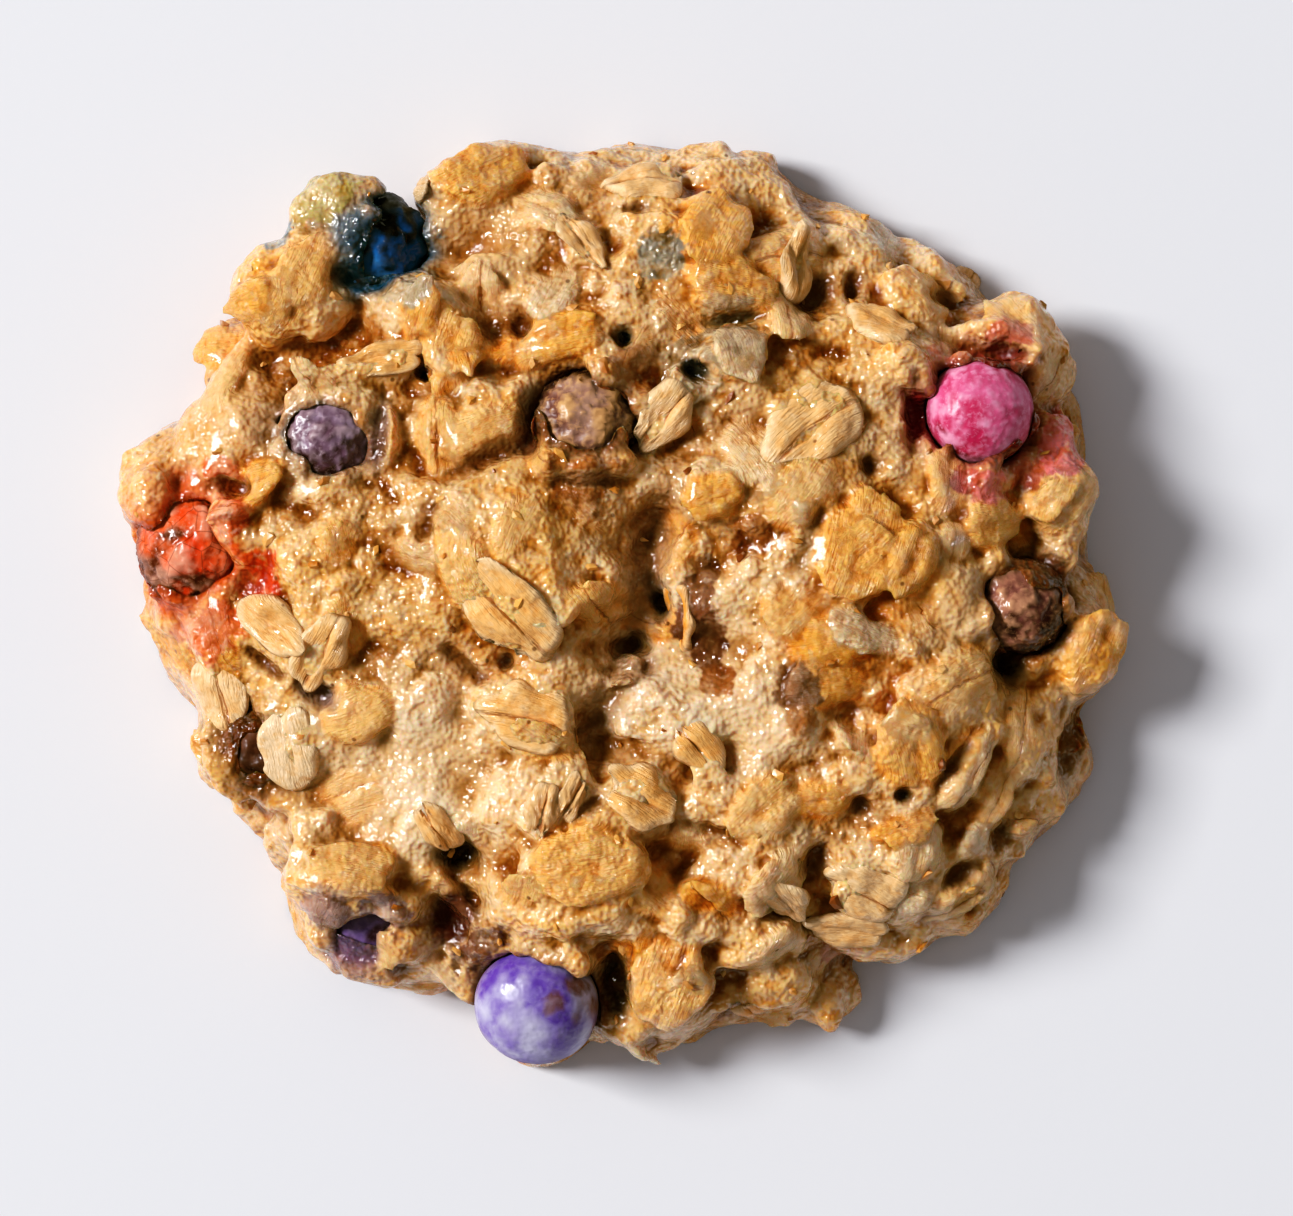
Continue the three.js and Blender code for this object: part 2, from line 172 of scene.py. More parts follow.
# Heaped lumps of batter: place, length, width, turn and rise, in millimetres and degrees
MOUNDS = [
    (-9.5, 34.4, 8.5, 4.4, 35, 1.6), (-22.6, 28, 5.6, 3.6, 10, 1.3), (-25.2, 27.2, 6.4, 4.2, 62, 1.6),
    (-28.6, 23.4, 5.4, 3.6, 35, 1.8), (-23.4, 23, 6, 5, 60, 1.6), (-30, 18.2, 8, 3.4, 80, 1.5),
    (-33.4, 13.6, 6.6, 5.6, 55, 1.2), (-37, 8.4, 4.2, 5.2, 0, 2.2), (-30.4, 6.4, 4.4, 1.7, 14, 2.6),
    (-27.6, 9.6, 6, 2.4, 75, 1.4), (-8.6, 3.4, 15, 12, -40, 2.2), (-10.8, 9, 10, 6, 15, 1.2),
    (-7.6, -8.4, 9, 6, -14, 1.2), (-5.2, -15, 8.4, 5, 60, 1.1), (-2.8, -20.4, 11, 6.4, 8, 1.8),
    (4, -29.8, 7.6, 7.4, 70, 2.2), (-5.4, -24.4, 6, 4, 0, 1.5), (-4, -27.2, 4, 2.2, -60, 2.6),
    (-22.2, -20.6, 9.4, 4, -8, 2.6), (-17.6, -23.4, 3.2, 4, 80, 1.8), (-24.4, -18, 5, 3, -50, 1.4),
    (-31.8, -13.6, 8, 2.4, -62, 1.2), (-20.6, -8.6, 5.6, 4.6, 20, 1.3), (21.8, 3.4, 6.4, 4.4, 70, 1.4),
    (25, -7, 10, 7, 30, 1.6), (36.6, -3.8, 7.4, 5.8, 70, 2.4), (34, 6.4, 4.6, 6, 20, 2.4),
    (28.4, 6.2, 5.4, 3.6, 0, 1.7), (33.4, 13, 4, 4.8, 10, 1.8), (28.2, 20.8, 6, 2.4, -10, 2),
    (22.2, 17.8, 6, 3.8, -40, 1.6), (34.2, 17.6, 4.6, 6, 0, 1.4), (6.8, 29, 7, 6, 60, 1.7),
    (18.4, 27.6, 6, 4, -20, 1.4), (22.6, 23.6, 6.4, 4.4, -40, 1.4), (8.4, 19.2, 6, 3.4, 20, 1.2),
    (17, -14, 7, 5, 50, 1.1), (27, -20, 8, 5, 40, 1.5), (20, -27, 8, 4.6, -10, 1.5),
    (12, -30, 6, 4.6, 20, 1.4), (9, -21, 8, 5, 10, 1.2), (31, -12, 6.4, 4.6, 60, 1.4),
    (-14, 29, 6, 4, 40, 1), (15.6, 20.6, 5, 3, 10, 1), (16.2, -32.2, 3, 4.4, -10, 1.6),
    (-12.4, -30, 5, 3, -30, 1.2), (11.4, 8.4, 7, 4, 50, 0.9),
]
# Batter that crept over the candies and hides part of them, listed in the same way
CREEPS = [
    (-21.8, 28.2, 5, 3.2, 10, 1.2), (-23, 27, 4.6, 3.4, 70, 1.4), (-20, 24.4, 4.4, 2, 0, 1.2),
    (-19.6, 30, 2.4, 1.8, -30, 1), (-19.8, 32.4, 3.2, 2.6, 0, 1.1), (-25.4, 30.4, 3.6, 2.6, 50, 1),
    (-18.6, 12, 6.6, 2.6, 85, 1.8), (-23.2, 8.6, 5.8, 2.6, 8, 1.6), (-22, 16.8, 7, 2.8, 6, 2.2),
    (-37, 7.6, 4, 4.6, 0, 2), (-31, 7, 3.8, 1.6, 14, 1.3), (-35.6, 0.2, 5, 1.6, -15, 1),
    (-31, 1, 3, 2, 40, 1.4), (0.6, 15.8, 3, 2.6, 60, 2.2), (-1.4, 17.8, 3.4, 2.4, -20, 1.8),
    (-5.6, 10.8, 3.6, 2.6, -30, 1.9), (-3.2, 10, 3.4, 3, 10, 2.1), (-0.6, 10.8, 3.2, 2.6, 30, 2),
    (33.4, 3.2, 3.8, 3.6, 60, 2.4), (28.4, 3.2, 3, 2.6, 50, 2), (-20.8, -28, 8, 4, -25, 2),
    (-23.8, -25.8, 3.6, 4.4, 10, 1.7), (-17.4, -26.6, 3.6, 3.6, 0, 1.8), (-21.8, -22, 8.6, 3.2, -8, 2),
    (-30.9, -12.4, 7.4, 3.6, -66, 2.6), (-27.4, -14.8, 5, 3, 10, 2), (31.4, 18.8, 3, 1.8, 20, 1.2),
    (-3.4, -28, 3.4, 2, -60, 1.5),
]
# Stretches of rim where batter has risen round a candy: from and to in degrees, and how far over it
COLLARS = [
    ("candy_brown_top", 190, 350, 1.4), ("candy_brown_top", 20, 80, 0.9), ("candy_violet", -70, 50, 0.3),
    ("candy_violet", 135, 235, 1), ("candy_violet", 60, 135, 1.4), ("candy_violet", 235, 290, 0.5),
    ("candy_brown_side", 0, 125, 1.2), ("candy_brown_side", 190, 240, 0.6), ("candy_orange", 85, 150, 1.1),
    ("candy_orange", 5, 50, 0.9), ("candy_orange", 200, 300, 0.5), ("candy_blue", 110, 240, 1.9),
    ("candy_blue", 240, 300, 0.8), ("candy_pink", 290, 350, 0.5), ("candy_pink", 60, 110, 0.5),
    ("candy_dark", 80, 290, 1.7), ("candy_purple", 60, 110, 0.5),
]
# Pits and clefts: place, length, width, turn and depth, then the tone painted in the depths and its strength
# That tone is painted shade, tinted near the candies by their dye
CLEFTS = [
    (2, 3.4, 12, 3, 78, 2.1, "brown", 0.7), (-1.2, -7, 9, 2.8, 65, 1.8, "brown", 0.6),
    (-2.8, -15.8, 3, 1.4, 30, 1, "brown", 0.6), (-13.1, -19.7, 3.4, 2.6, 0, 2.6, "dark", 1),
    (-13.4, -24.6, 5, 4, 70, 2.6, "wine", 0.95), (-0.8, -30.2, 2.4, 5, 0, 2.6, "dark", 0.95),
    (-29.4, -11.4, 3, 5.4, 15, 2.2, "brown", 0.9), (-23.9, -7, 3.6, 2, -30, 1.4, "violet", 0.8),
    (0, 20.4, 1.5, 1.6, 0, 1.9, "ink", 1), (5.3, 18, 2.4, 1.6, -20, 2.1, "ink", 1),
    (8.2, 21.9, 4.2, 1.2, 12, 1.7, "ink", 0.9), (-9.9, 21.8, 4, 3.2, 20, 1.1, "brown", 0.4),
    (-8, 21.4, 1.7, 2, 0, 1.8, "brown", 0.9), (-15.5, 17.8, 1.1, 0.9, 0, 1.7, "dark", 1),
    (14.7, 24, 3.6, 3, 60, 1.9, "brown", 0.85), (17.9, 24.8, 1.4, 2, 0, 1.6, "brown", 0.8),
    (25.4, 24, 2.4, 1.2, -20, 1.3, "brown", 0.8), (19, 10.5, 1.4, 1.6, 0, 1.4, "brown", 0.8),
    (2.8, -0.2, 1.6, 2.4, 10, 2.1, "dark", 1), (0.4, -3.4, 2, 1.4, 0, 1.4, "brown", 0.9),
    (1.4, -5.2, 2.2, 1.6, 20, 0.8, "brown", 0.7), (-9.1, -4.6, 1.2, 1.4, 0, 1.5, "brown", 0.8),
    (30, -4.8, 2.6, 3, 0, 2.8, "dark", 1), (35.6, -11.2, 6, 2.2, 75, 2.2, "brown", 0.8),
    (21.6, -15, 1.3, 1, 0, 1.6, "dark", 0.9), (18.3, -15.7, 1.6, 1.4, 0, 1.3, "brown", 0.8),
    (14.7, -20.1, 3, 1.8, 60, 1.4, "brown", 0.75), (26.2, -21.3, 3.2, 1.6, 40, 1.5, "brown", 0.7),
    (-10, 11.4, 7, 1.7, 22, 1.2, "brown", 0.8), (-7.2, 13.4, 1.8, 5, 0, 1.4, "wine", 0.8),
    (-2.8, 9.4, 6, 1.6, 0, 1, "cocoa", 0.8), (29.8, 19.6, 4, 1.4, -5, 1.8, "wine", 0.9),
    (22.6, 14.4, 1.4, 5, 0, 1.8, "wine", 0.95), (-30.6, 9, 3, 1.5, -10, 2.4, "dark", 0.9),
    (-18.9, 12.8, 1.6, 6, -5, 1.5, "violet", 0.8), (-19.6, 25.2, 4.6, 3, 0, 1.8, "ink", 1),
    (1, 30.7, 2.2, 1, 0, 1, "brown", 0.7), (33.2, 2.4, 2.6, 2.4, 0, 2, "dark", 0.9),
    (14.2, 4.6, 6, 1.4, 70, 0.9, "brown", 0.5), (25.6, -12.6, 5, 1.2, 55, 1.2, "brown", 0.7),
    (12.6, -24.4, 4, 1.4, -30, 1.2, "brown", 0.6), (-15, 6.4, 4, 1.4, 70, 0.9, "brown", 0.5),
    (-12.6, -4.6, 5, 1.4, -40, 1, "brown", 0.5), (29.6, -18.4, 3, 1.4, 60, 1.4, "brown", 0.7),
    (6.6, -17.6, 5, 1.2, -10, 0.8, "brown", 0.4), (-28, -4.8, 4, 1, -40, 0.9, "brown", 0.6),
]
# Where the batter ran smooth: place and spread
SMOOTH_PLACES = [
    (-17.5, -13.5, 8), (5, -2.5, 5.5), (-11, 27, 4), (-32.5, 15, 4.5), (9.5, -9.5, 4.5), (25.8, -0.6, 3),
]
# Places where no oats show: place, length and width
BARE_OF_OATS = [(-22.4, 34, 10, 10), (-17, 35, 9, 9), (-33, 15, 9, 8)]
# Oats set in the batter and glazed over: place, length, width, turn, kind, and tone from pale 0 to orange 1
GLAZED_OATS = [
    (7, 28.8, 7.4, 5.6, 62, 1, 0.95), (8.2, 24.4, 7.4, 4.6, -6, 4, 0.85), (-5.4, 20.2, 8.6, 3.6, 16, 1, 1),
    (-10.6, 13, 7.6, 3.4, 24, 7, 0.6), (18.2, 4.2, 9.6, 6.4, 74, 4, 0.85), (21.8, 3, 6, 4, 68, 1, 0.9),
    (16.2, -2.8, 7.4, 4, 14, 7, 1), (21.9, -10.8, 7, 5.4, -70, 1, 0.85),
    (3.4, -29.6, 7.8, 6.6, 70, 3, 0.75), (-2.8, -20.2, 9, 5.8, 8, 4, 0.8),
    (36.8, -3.6, 7.4, 5.2, 70, 1, 0.95), (34.2, 8, 5.8, 4.2, 45, 7, 0.5), (-11, 33.4, 8, 4.8, 30, 4, 0.9),
    (-28.8, 23.4, 5.4, 3.4, 32, 1, 0.95), (12.4, 27, 6.6, 4.6, 15, 0, 0.6),
    (-12.2, 2.6, 7.2, 3.8, -75, 7, 0.6), (-13.4, 19.6, 6.8, 4.6, 75, 1, 0.75),
    (-24.8, 25.6, 6.6, 4, 66, 4, 0.7), (-21, -20.4, 7, 4, -8, 1, 0.7), (-20.6, -8.6, 5.8, 4.4, 25, 4, 0.65),
    (23.4, 24, 6, 4, -40, 7, 0.6), (8.6, 19, 6, 3.6, 18, 1, 0.5), (26, -6, 6.4, 4.4, 25, 0, 0.6),
    (28.4, 6.2, 5.6, 3.8, 0, 4, 0.7), (13.6, 8.6, 6.6, 4, 55, 7, 0.5), (-31, 17, 6.6, 3.4, 80, 4, 0.5),
    (10.6, -16, 6.6, 4.4, 40, 1, 0.5), (26.4, -13.4, 7, 3, 55, 6, 0.3), (29, -14.6, 6.6, 3, 66, 2, 0.45),
    (22.6, -19.2, 5.6, 4.4, 78, 8, 0.2), (26, -23, 6, 3.8, 35, 3, 0.4), (30.6, -9.4, 5.6, 3.6, 74, 0, 0.5),
]
# Bare oats that will lie on top, listed in the same way
BARE_OATS = [
    (1.8, 32.8, 6.3, 4.2, 0, 0, 0.35), (-3.4, 28, 5.8, 2.6, -55, 2, 0.4), (-18.4, 18.6, 6.4, 3, 8, 1, 0.5),
    (2.9, 14.1, 6.2, 4, 48, 3, 0.3), (14.5, 13.6, 8.4, 6.2, 40, 0, 0.35),
    (-9, -0.4, 10.2, 6.4, -50, 3, 0.45), (-7.4, -8.8, 7.2, 5.2, -14, 0, 0.5),
    (-6.2, -16, 4.4, 2.8, 75, 3, 0.3), (-4, -14.9, 4.2, 2.4, 58, 6, 0.3),
    (1.2, -14.9, 6.2, 4.8, -30, 5, 0.5), (5.6, -11, 5.6, 3.2, -48, 0, 0.5),
    (-31.5, -7.2, 6.6, 5.2, 98, 0, 0.2), (-26, -11.4, 7, 5.2, 100, 7, 0.0),
    (-27, -1.8, 7.4, 3.6, -36, 2, 0.4), (-23.4, -3.8, 7, 3.8, 62, 3, 0.4),
    (18.8, -22.4, 6.4, 5, -30, 0, 0.2), (17.4, -25.4, 6.4, 3, -12, 1, 0.3),
    (13.2, 26.2, 6, 3.4, 75, 2, 0.45), (20, 21.4, 5.4, 3.8, -30, 1, 0.5),
    (-14.6, -17.2, 5, 2.6, -60, 6, 0.4),
]


def linear(red, green, blue):
    """A colour as it shows on a screen, as the light that it stands for."""
    shown = np.array([red, green, blue]) / 255
    return np.where(shown <= 0.04045, shown / 12.92, ((shown + 0.055) / 1.055) ** 2.4)


def read_off(items, label, kind=np.float32):
    """Three numbers for each of a mesh's items."""
    values = np.empty(3 * len(items), kind)
    items.foreach_get(label, values)
    return values.reshape(-1, 3)


def points_of(mesh):
    return read_off(mesh.vertices, "co").astype(np.float64)


def set_points(mesh, points):
    mesh.vertices.foreach_set("co", points.astype(np.float32).ravel())
    mesh.update()


def normals_of(mesh):
    return read_off(mesh.vertex_normals, "vector").astype(np.float64)


def triangles_of(mesh):
    mesh.calc_loop_triangles()
    return read_off(mesh.loop_triangles, "vertices", np.int32)


def values_of(mesh, label):
    values = np.zeros(len(mesh.vertices), np.float32)
    if label in mesh.attributes:
        mesh.attributes[label].data.foreach_get("value", values)
    return values.astype(np.float64)


def add_object(name, mesh):
    made = bpy.data.objects.new(name, mesh)
    bpy.context.scene.collection.objects.link(made)
    return made


def settled(thing):
    """The plain mesh that an object's modifiers give; the object itself goes."""
    graph = bpy.context.evaluated_depsgraph_get()
    mesh = bpy.data.meshes.new_from_object(thing.evaluated_get(graph))
    bpy.data.objects.remove(thing)
    return mesh


def cloud(points, patch, seed):
    """Smooth random values from 0 to 1 over space, in patches of one size."""
    place = points / patch
    cell = np.floor(place).astype(np.int64)
    part = place - cell
    part = part * part * (3 - 2 * part)
    total = np.zeros(len(points))
    for corner in np.ndindex(2, 2, 2):
        spot = cell + np.array(corner)
        code = (spot[:, 0] * 73856093) ^ (spot[:, 1] * 19349663)
        code ^= (spot[:, 2] * 83492791) ^ (seed * 374761393)
        code = ((code ^ (code >> 13)) * 1274126177) & 0xFFFFFFFF
        code = ((code ^ (code >> 15)) * 2246822519) & 0xFFFFFFFF
        share = np.prod(np.where(corner, part, 1 - part), axis=1)
        total += share * ((code ^ (code >> 16)) & 0xFFFFFF) / 0xFFFFFF
    return total


def candy_seat(name):
    """A candy's middle, its three directions (the flattened one last) and its half sizes, from its solid."""
    points = points_of(frame["nodes"][name].data)
    middle = (points.min(0) + points.max(0)) / 2
    directions = np.linalg.eigh(np.cov((points - middle).T))[1].T
    reach = np.abs((points - middle) @ directions.T).max(0)
    order = np.argsort(-reach)
    directions = directions[order]
    if directions[2][2] < 0:
        directions[2] *= -1
    directions[1] = np.cross(directions[2], directions[0])
    return middle, directions, reach[order]


candy_seats = {name: candy_seat(name) for name in CANDY_NAMES}


def candy_distance(points, name):
    """How far points are from a candy's shell, in metres; less than 0 inside it."""
    middle, directions, reach = candy_seats[name]
    local = (points - middle) @ directions.T
    share = np.linalg.norm(local / reach, axis=1)
    return (share - 1) * np.linalg.norm(local, axis=1) / np.maximum(share, 1e-6)


def nearest_candy(points):
    return np.min([candy_distance(points, name) for name in CANDY_NAMES], axis=0)


def feed(tree, made, sockets):
    """Links the inputs of a node to sockets, or sets them to values."""
    for socket, value in sockets.items():
        if isinstance(value, bpy.types.NodeSocket):
            tree.links.new(value, made.inputs[socket])
        else:
            made.inputs[socket].default_value = value


def node(tree, kind, inputs=None, **settings):
    """Adds a node with its settings and inputs."""
    made = tree.nodes.new(kind)
    for key, value in settings.items():
        setattr(made, key, value)
    feed(tree, made, inputs or {})
    return made


def math_node(tree, operation, *values):
    return node(tree, "ShaderNodeMath", dict(enumerate(values)), operation=operation).outputs[0]


def times(tree, first, second):
    return math_node(tree, "MULTIPLY", first, second)


def vector_node(tree, operation, first, second):
    sockets = {0: first, "Scale" if operation == "SCALE" else 1: second}
    return node(tree, "ShaderNodeVectorMath", sockets, operation=operation).outputs


def vector_of(tree, x, y, z):
    return node(tree, "ShaderNodeCombineXYZ", {0: x, 1: y, 2: z}).outputs[0]


def shape_tree(name, sockets):
    """An empty geometry tree with named inputs, and its input and output sockets."""
    tree = bpy.data.node_groups.new(name, "GeometryNodeTree")
    tree.interface.new_socket("Geometry", in_out="OUTPUT", socket_type="NodeSocketGeometry")
    for label, kind in {"Geometry": "Geometry", **sockets}.items():
        tree.interface.new_socket(label, in_out="INPUT", socket_type="NodeSocket" + kind)
    return tree, tree.nodes.new("NodeGroupInput").outputs, tree.nodes.new("NodeGroupOutput").inputs


def named_value(tree, label, kind="FLOAT"):
    made = node(tree, "GeometryNodeInputNamedAttribute", {"Name": label}, data_type=kind)
    return made.outputs["Attribute"]


def use_tree(thing, tree, values):
    """Puts a geometry tree on an object, with its inputs set by their identifiers."""
    modifier = thing.modifiers.new(tree.name, "NODES")
    modifier.node_group = tree
    for item in tree.interface.items_tree:
        if item.in_out == "INPUT" and item.name in values:
            modifier[item.identifier] = values[item.name]


def chance(tree, kind, least, most, seed):
    """A random value for each thing that is strewn."""
    first = {"FLOAT_VECTOR": 0, "FLOAT": 2, "INT": 4}[kind]
    sockets = {first: least, first + 1: most, "Seed": seed}
    made = node(tree, "FunctionNodeRandomValue", sockets, data_type=kind)
    return made.outputs[first // 2]


def at_spots(tree, given, spots, number, facing, scale):
    """One of the given shapes at each spot, turned and sized."""
    shapes = node(tree, "GeometryNodeCollectionInfo", {
        "Collection": given["Shapes"], "Separate Children": True, "Reset Children": True})
    return node(tree, "GeometryNodeInstanceOnPoints", {
        "Points": spots, "Instance": shapes.outputs[0], "Pick Instance": True,
        "Instance Index": number, "Rotation": facing, "Scale": scale}).outputs[0]


def as_mesh(tree, given, placed, result):
    """Ends a tree: what was placed becomes one mesh, in the given material."""
    whole = node(tree, "GeometryNodeRealizeInstances", {0: placed}).outputs[0]
    dressed = node(tree, "GeometryNodeSetMaterial", {"Geometry": whole, "Material": given["Material"]})
    tree.links.new(dressed.outputs[0], result[0])
    return tree


def strew_tree():
    """Strews shapes over a surface where its value "room" allows, turned at random and sunk in."""
    tree, given, result = shape_tree("strew", {
        "Shapes": "Collection", "Spacing": "Float", "Smallest": "Float", "Largest": "Float",
        "Flatness": "Float", "Sink": "Float", "Tilt": "Float", "Seed": "Int", "Material": "Material",
    })
    most = math_node(tree, "DIVIDE", 3.0, math_node(tree, "POWER", given["Spacing"], 2.0))
    spots = node(tree, "GeometryNodeDistributePointsOnFaces", {
        "Mesh": given["Geometry"], "Distance Min": given["Spacing"], "Density Max": most,
        "Density Factor": named_value(tree, "room"), "Seed": given["Seed"],
    }, distribute_method="POISSON").outputs
    inward = vector_node(tree, "SCALE", spots["Normal"], times(tree, given["Sink"], -1.0))[0]
    sunk = node(tree, "GeometryNodeSetPosition", {"Geometry": spots["Points"], "Offset": inward}).outputs[0]
    size = chance(tree, "FLOAT", given["Smallest"], given["Largest"], given["Seed"])
    stretch = chance(tree, "FLOAT_VECTOR", (0.9, 0.75, 0.8), (1.15, 1.1, 1.25), 3)
    shaped = vector_node(tree, "MULTIPLY", stretch, vector_of(tree, 1.0, 1.0, given["Flatness"]))[0]
    tilt = given["Tilt"]
    back = times(tree, tilt, -1.0)
    least = vector_of(tree, back, back, 0.0)
    turn = chance(tree, "FLOAT_VECTOR", least, vector_of(tree, tilt, tilt, math.tau), 5)
    lean = node(tree, "FunctionNodeEulerToRotation", {0: turn}).outputs[0]
    facing = node(tree, "FunctionNodeRotateRotation", {0: spots["Rotation"], 1: lean},
                  rotation_space="LOCAL").outputs[0]
    scale = vector_node(tree, "SCALE", shaped, size)[0]
    placed = at_spots(tree, given, sunk, chance(tree, "INT", 0, 999, 7), facing, scale)
    varied = node(tree, "GeometryNodeStoreNamedAttribute", {
        "Geometry": placed, "Name": "tone", "Value": chance(tree, "FLOAT", 0.0, 1.0, 11),
    }, data_type="FLOAT", domain="INSTANCE").outputs[0]
    return as_mesh(tree, given, varied, result)


strew = strew_tree()


def strewn(surface, room, shapes, spacing, sizes, flatness, sink, tilt, seed, material=None):
    """The mesh of shapes strewn over a surface mesh; sizes in millimetres."""
    ground = surface.copy()
    put_values(ground, "room", room)
    thing = add_object("strewn", ground)
    use_tree(thing, strew, {
        "Shapes": shapes, "Spacing": spacing * MM, "Smallest": sizes[0] * MM, "Largest": sizes[1] * MM,
        "Flatness": flatness, "Sink": sink * MM, "Tilt": tilt, "Seed": seed, "Material": material,
    })
    return settled(thing)


def lay_tree():
    """Lays one shape at each point, turned and sized by the point's own values."""
    tree, given, result = shape_tree("lay", {"Shapes": "Collection", "Material": "Material"})
    turn = named_value(tree, "facing", "FLOAT_VECTOR")
    facing = node(tree, "FunctionNodeEulerToRotation", {0: turn}).outputs[0]
    kind = node(tree, "FunctionNodeFloatToInt", {0: named_value(tree, "kind")}).outputs[0]
    spread = named_value(tree, "spread", "FLOAT_VECTOR")
    placed = at_spots(tree, given, given["Geometry"], kind, facing, spread)
    return as_mesh(tree, given, placed, result)


lay = lay_tree()


def ground_of(mesh):
    """A mesh as ground that things can be laid on."""
    return BVHTree.FromPolygons(points_of(mesh).tolist(), triangles_of(mesh).tolist())


def lie_on(ground, x, y, length, width, turn):
    """Where a thing comes to rest: the plane through the ground under it, as a place and a turn."""
    heading = math.radians(turn)
    ahead = Vector((math.cos(heading), math.sin(heading), 0))
    aside = Vector((-ahead.y, ahead.x, 0))
    spots = []
    for u in (-0.36, -0.18, 0, 0.18, 0.36):
        for v in (-0.36, 0, 0.36):
            start = Vector((x, y, ABOVE_ALL)) * MM + (ahead * u * length + aside * v * width) * MM
            hit = ground.ray_cast(start, Vector((0, 0, -1)))[0]
            if hit:
                spots.append(hit)
    spots = np.array(spots)
    spread = np.c_[spots[:, 0] - x * MM, spots[:, 1] - y * MM, np.ones(len(spots))]
    slope = np.linalg.lstsq(spread, spots[:, 2], rcond=None)[0]
    normal = Vector((-slope[0], -slope[1], 1)).normalized()
    side = normal.cross(ahead).normalized()
    facing = Matrix((side.cross(normal), side, normal)).transposed().to_euler()
    return (x * MM, y * MM, slope[2]), tuple(facing)


def laid(ground, rows, heights, lift, shapes, material=None):
    """The mesh of shapes laid on the ground, one for each row: place, length, width, turn, kind and tone."""
    rests = [lie_on(ground, *row[:5]) for row in rows]
    places = np.array([place for place, facing in rests]) + [0, 0, lift * MM]
    wide = OAT_WIDTH if shapes == oat_shapes else 1
    points = new_mesh("laid", places, np.zeros((0, 3)), {
        "facing": [facing for place, facing in rests],
        "spread": [(row[2] * MM, row[3] / wide * MM, height * MM) for row, height in zip(rows, heights)],
        "kind": [row[5] for row in rows],
        "tone": [row[6] for row in rows],
    })
    thing = add_object("laid", points)
    use_tree(thing, lay, {"Shapes": shapes, "Material": material})
    return settled(thing)


def ball(name, rounds, radius):
    """A round mesh of triangles."""
    made = bmesh.new()
    bmesh.ops.create_icosphere(made, subdivisions=rounds, radius=radius)
    mesh = bpy.data.meshes.new(name)
    made.to_mesh(mesh)
    made.free()
    return mesh


def blob_shape(kind):
    """A rounded lump of batter of unit width."""
    mesh = ball("blob_%d" % kind, 2, 0.5)
    points = points_of(mesh)
    set_points(mesh, points * (1 + 0.5 * (cloud(points + 5, 0.35, kind)[:, None] - 0.5)))
    return bpy.data.objects.new(mesh.name, mesh)


blob_shapes = shape_collection("blob_shapes", [blob_shape(kind) for kind in range(BLOB_KINDS)])


def joined(name, meshes, labels=()):
    """Several meshes as one: their points, their triangles and the values named."""
    starts = np.cumsum([0] + [len(mesh.vertices) for mesh in meshes])
    points = np.vstack([points_of(mesh) for mesh in meshes])
    triangles = np.vstack([triangles_of(mesh) + start for mesh, start in zip(meshes, starts)])
    values = {label: np.concatenate([values_of(mesh, label) for mesh in meshes]) for label in labels}
    return new_mesh(name, points, triangles, values)


def fused(mesh, voxel, rounds):
    """One closed skin round everything in a mesh, eased by some rounds of smoothing."""
    thing = add_object("fused", mesh)
    remesh = thing.modifiers.new("fuse", "REMESH")
    remesh.mode = "VOXEL"
    remesh.voxel_size = voxel
    ease = thing.modifiers.new("ease", "SMOOTH")
    ease.factor = 0.5
    ease.iterations = rounds
    return settled(thing)


def smoothness(points):
    """1 in the middle of the places where the batter ran smooth, 0 away from them."""
    share = np.zeros(len(points))
    for x, y, spread in SMOOTH_PLACES:
        away = np.hypot(points[:, 0] / MM - x, points[:, 1] / MM - y) / spread
        share = np.maximum(share, np.exp(-(away**4)))
    return share


def open_room(mesh, clear):
    """1 where something can lie on the dough, 0 under the base, near the candies and where it ran smooth."""
    points = points_of(mesh)
    free = np.clip(normals_of(mesh)[:, 2] * 1.6 + 0.1, 0, 1) * (points[:, 2] > 1.2 * MM)
    clear_of_candy = np.clip(nearest_candy(points) / (clear * MM) - 0.3, 0, 1)
    return free * clear_of_candy * (1 - 0.9 * smoothness(points))


def away_from(rows, points):
    """1 clear of the oats in some rows, 0 under them."""
    share = np.ones(len(points))
    for row in rows:
        away = np.hypot(points[:, 0] - row[0] * MM, points[:, 1] - row[1] * MM)
        share *= np.clip(away / (0.3 * (row[2] + row[3]) * MM) - 0.4, 0, 1)
    return share


def relief_tree():
    """Raises a surface into soft lumps and fine grain where its value "open" allows."""
    labels = ("Lump Size", "Lump Depth", "Grain Size", "Grain Depth", "Seed")
    tree, given, result = shape_tree("dough_relief", {label: "Float" for label in labels})
    place = tree.nodes.new("GeometryNodeInputPosition").outputs[0]
    outward = tree.nodes.new("GeometryNodeInputNormal").outputs[0]
    cells = node(tree, "ShaderNodeTexVoronoi", {
        "Vector": place, "W": given["Seed"], "Scale": math_node(tree, "DIVIDE", 1.0, given["Lump Size"]),
        "Smoothness": 0.7}, voronoi_dimensions="4D", feature="SMOOTH_F1").outputs["Distance"]
    lump = times(tree, math_node(tree, "SUBTRACT", 0.45, cells), given["Lump Depth"])
    noise = node(tree, "ShaderNodeTexNoise", {
        "Vector": place, "W": given["Seed"], "Scale": math_node(tree, "DIVIDE", 1.0, given["Grain Size"]),
        "Detail": 3.0}, noise_dimensions="4D").outputs[0]
    grain = times(tree, math_node(tree, "SUBTRACT", noise, 0.5), given["Grain Depth"])
    lift = times(tree, math_node(tree, "ADD", lump, grain), named_value(tree, "open"))
    offset = vector_node(tree, "SCALE", outward, lift)[0]
    moved = node(tree, "GeometryNodeSetPosition", {"Geometry": given["Geometry"], "Offset": offset})
    tree.links.new(moved.outputs[0], result[0])
    return tree


relief = relief_tree()


def thin_out(thing, ratio):
    """Leaves an object a share of its triangles."""
    thin = thing.modifiers.new("thin", "DECIMATE")
    thin.ratio = ratio
    thin.use_collapse_triangulate = True


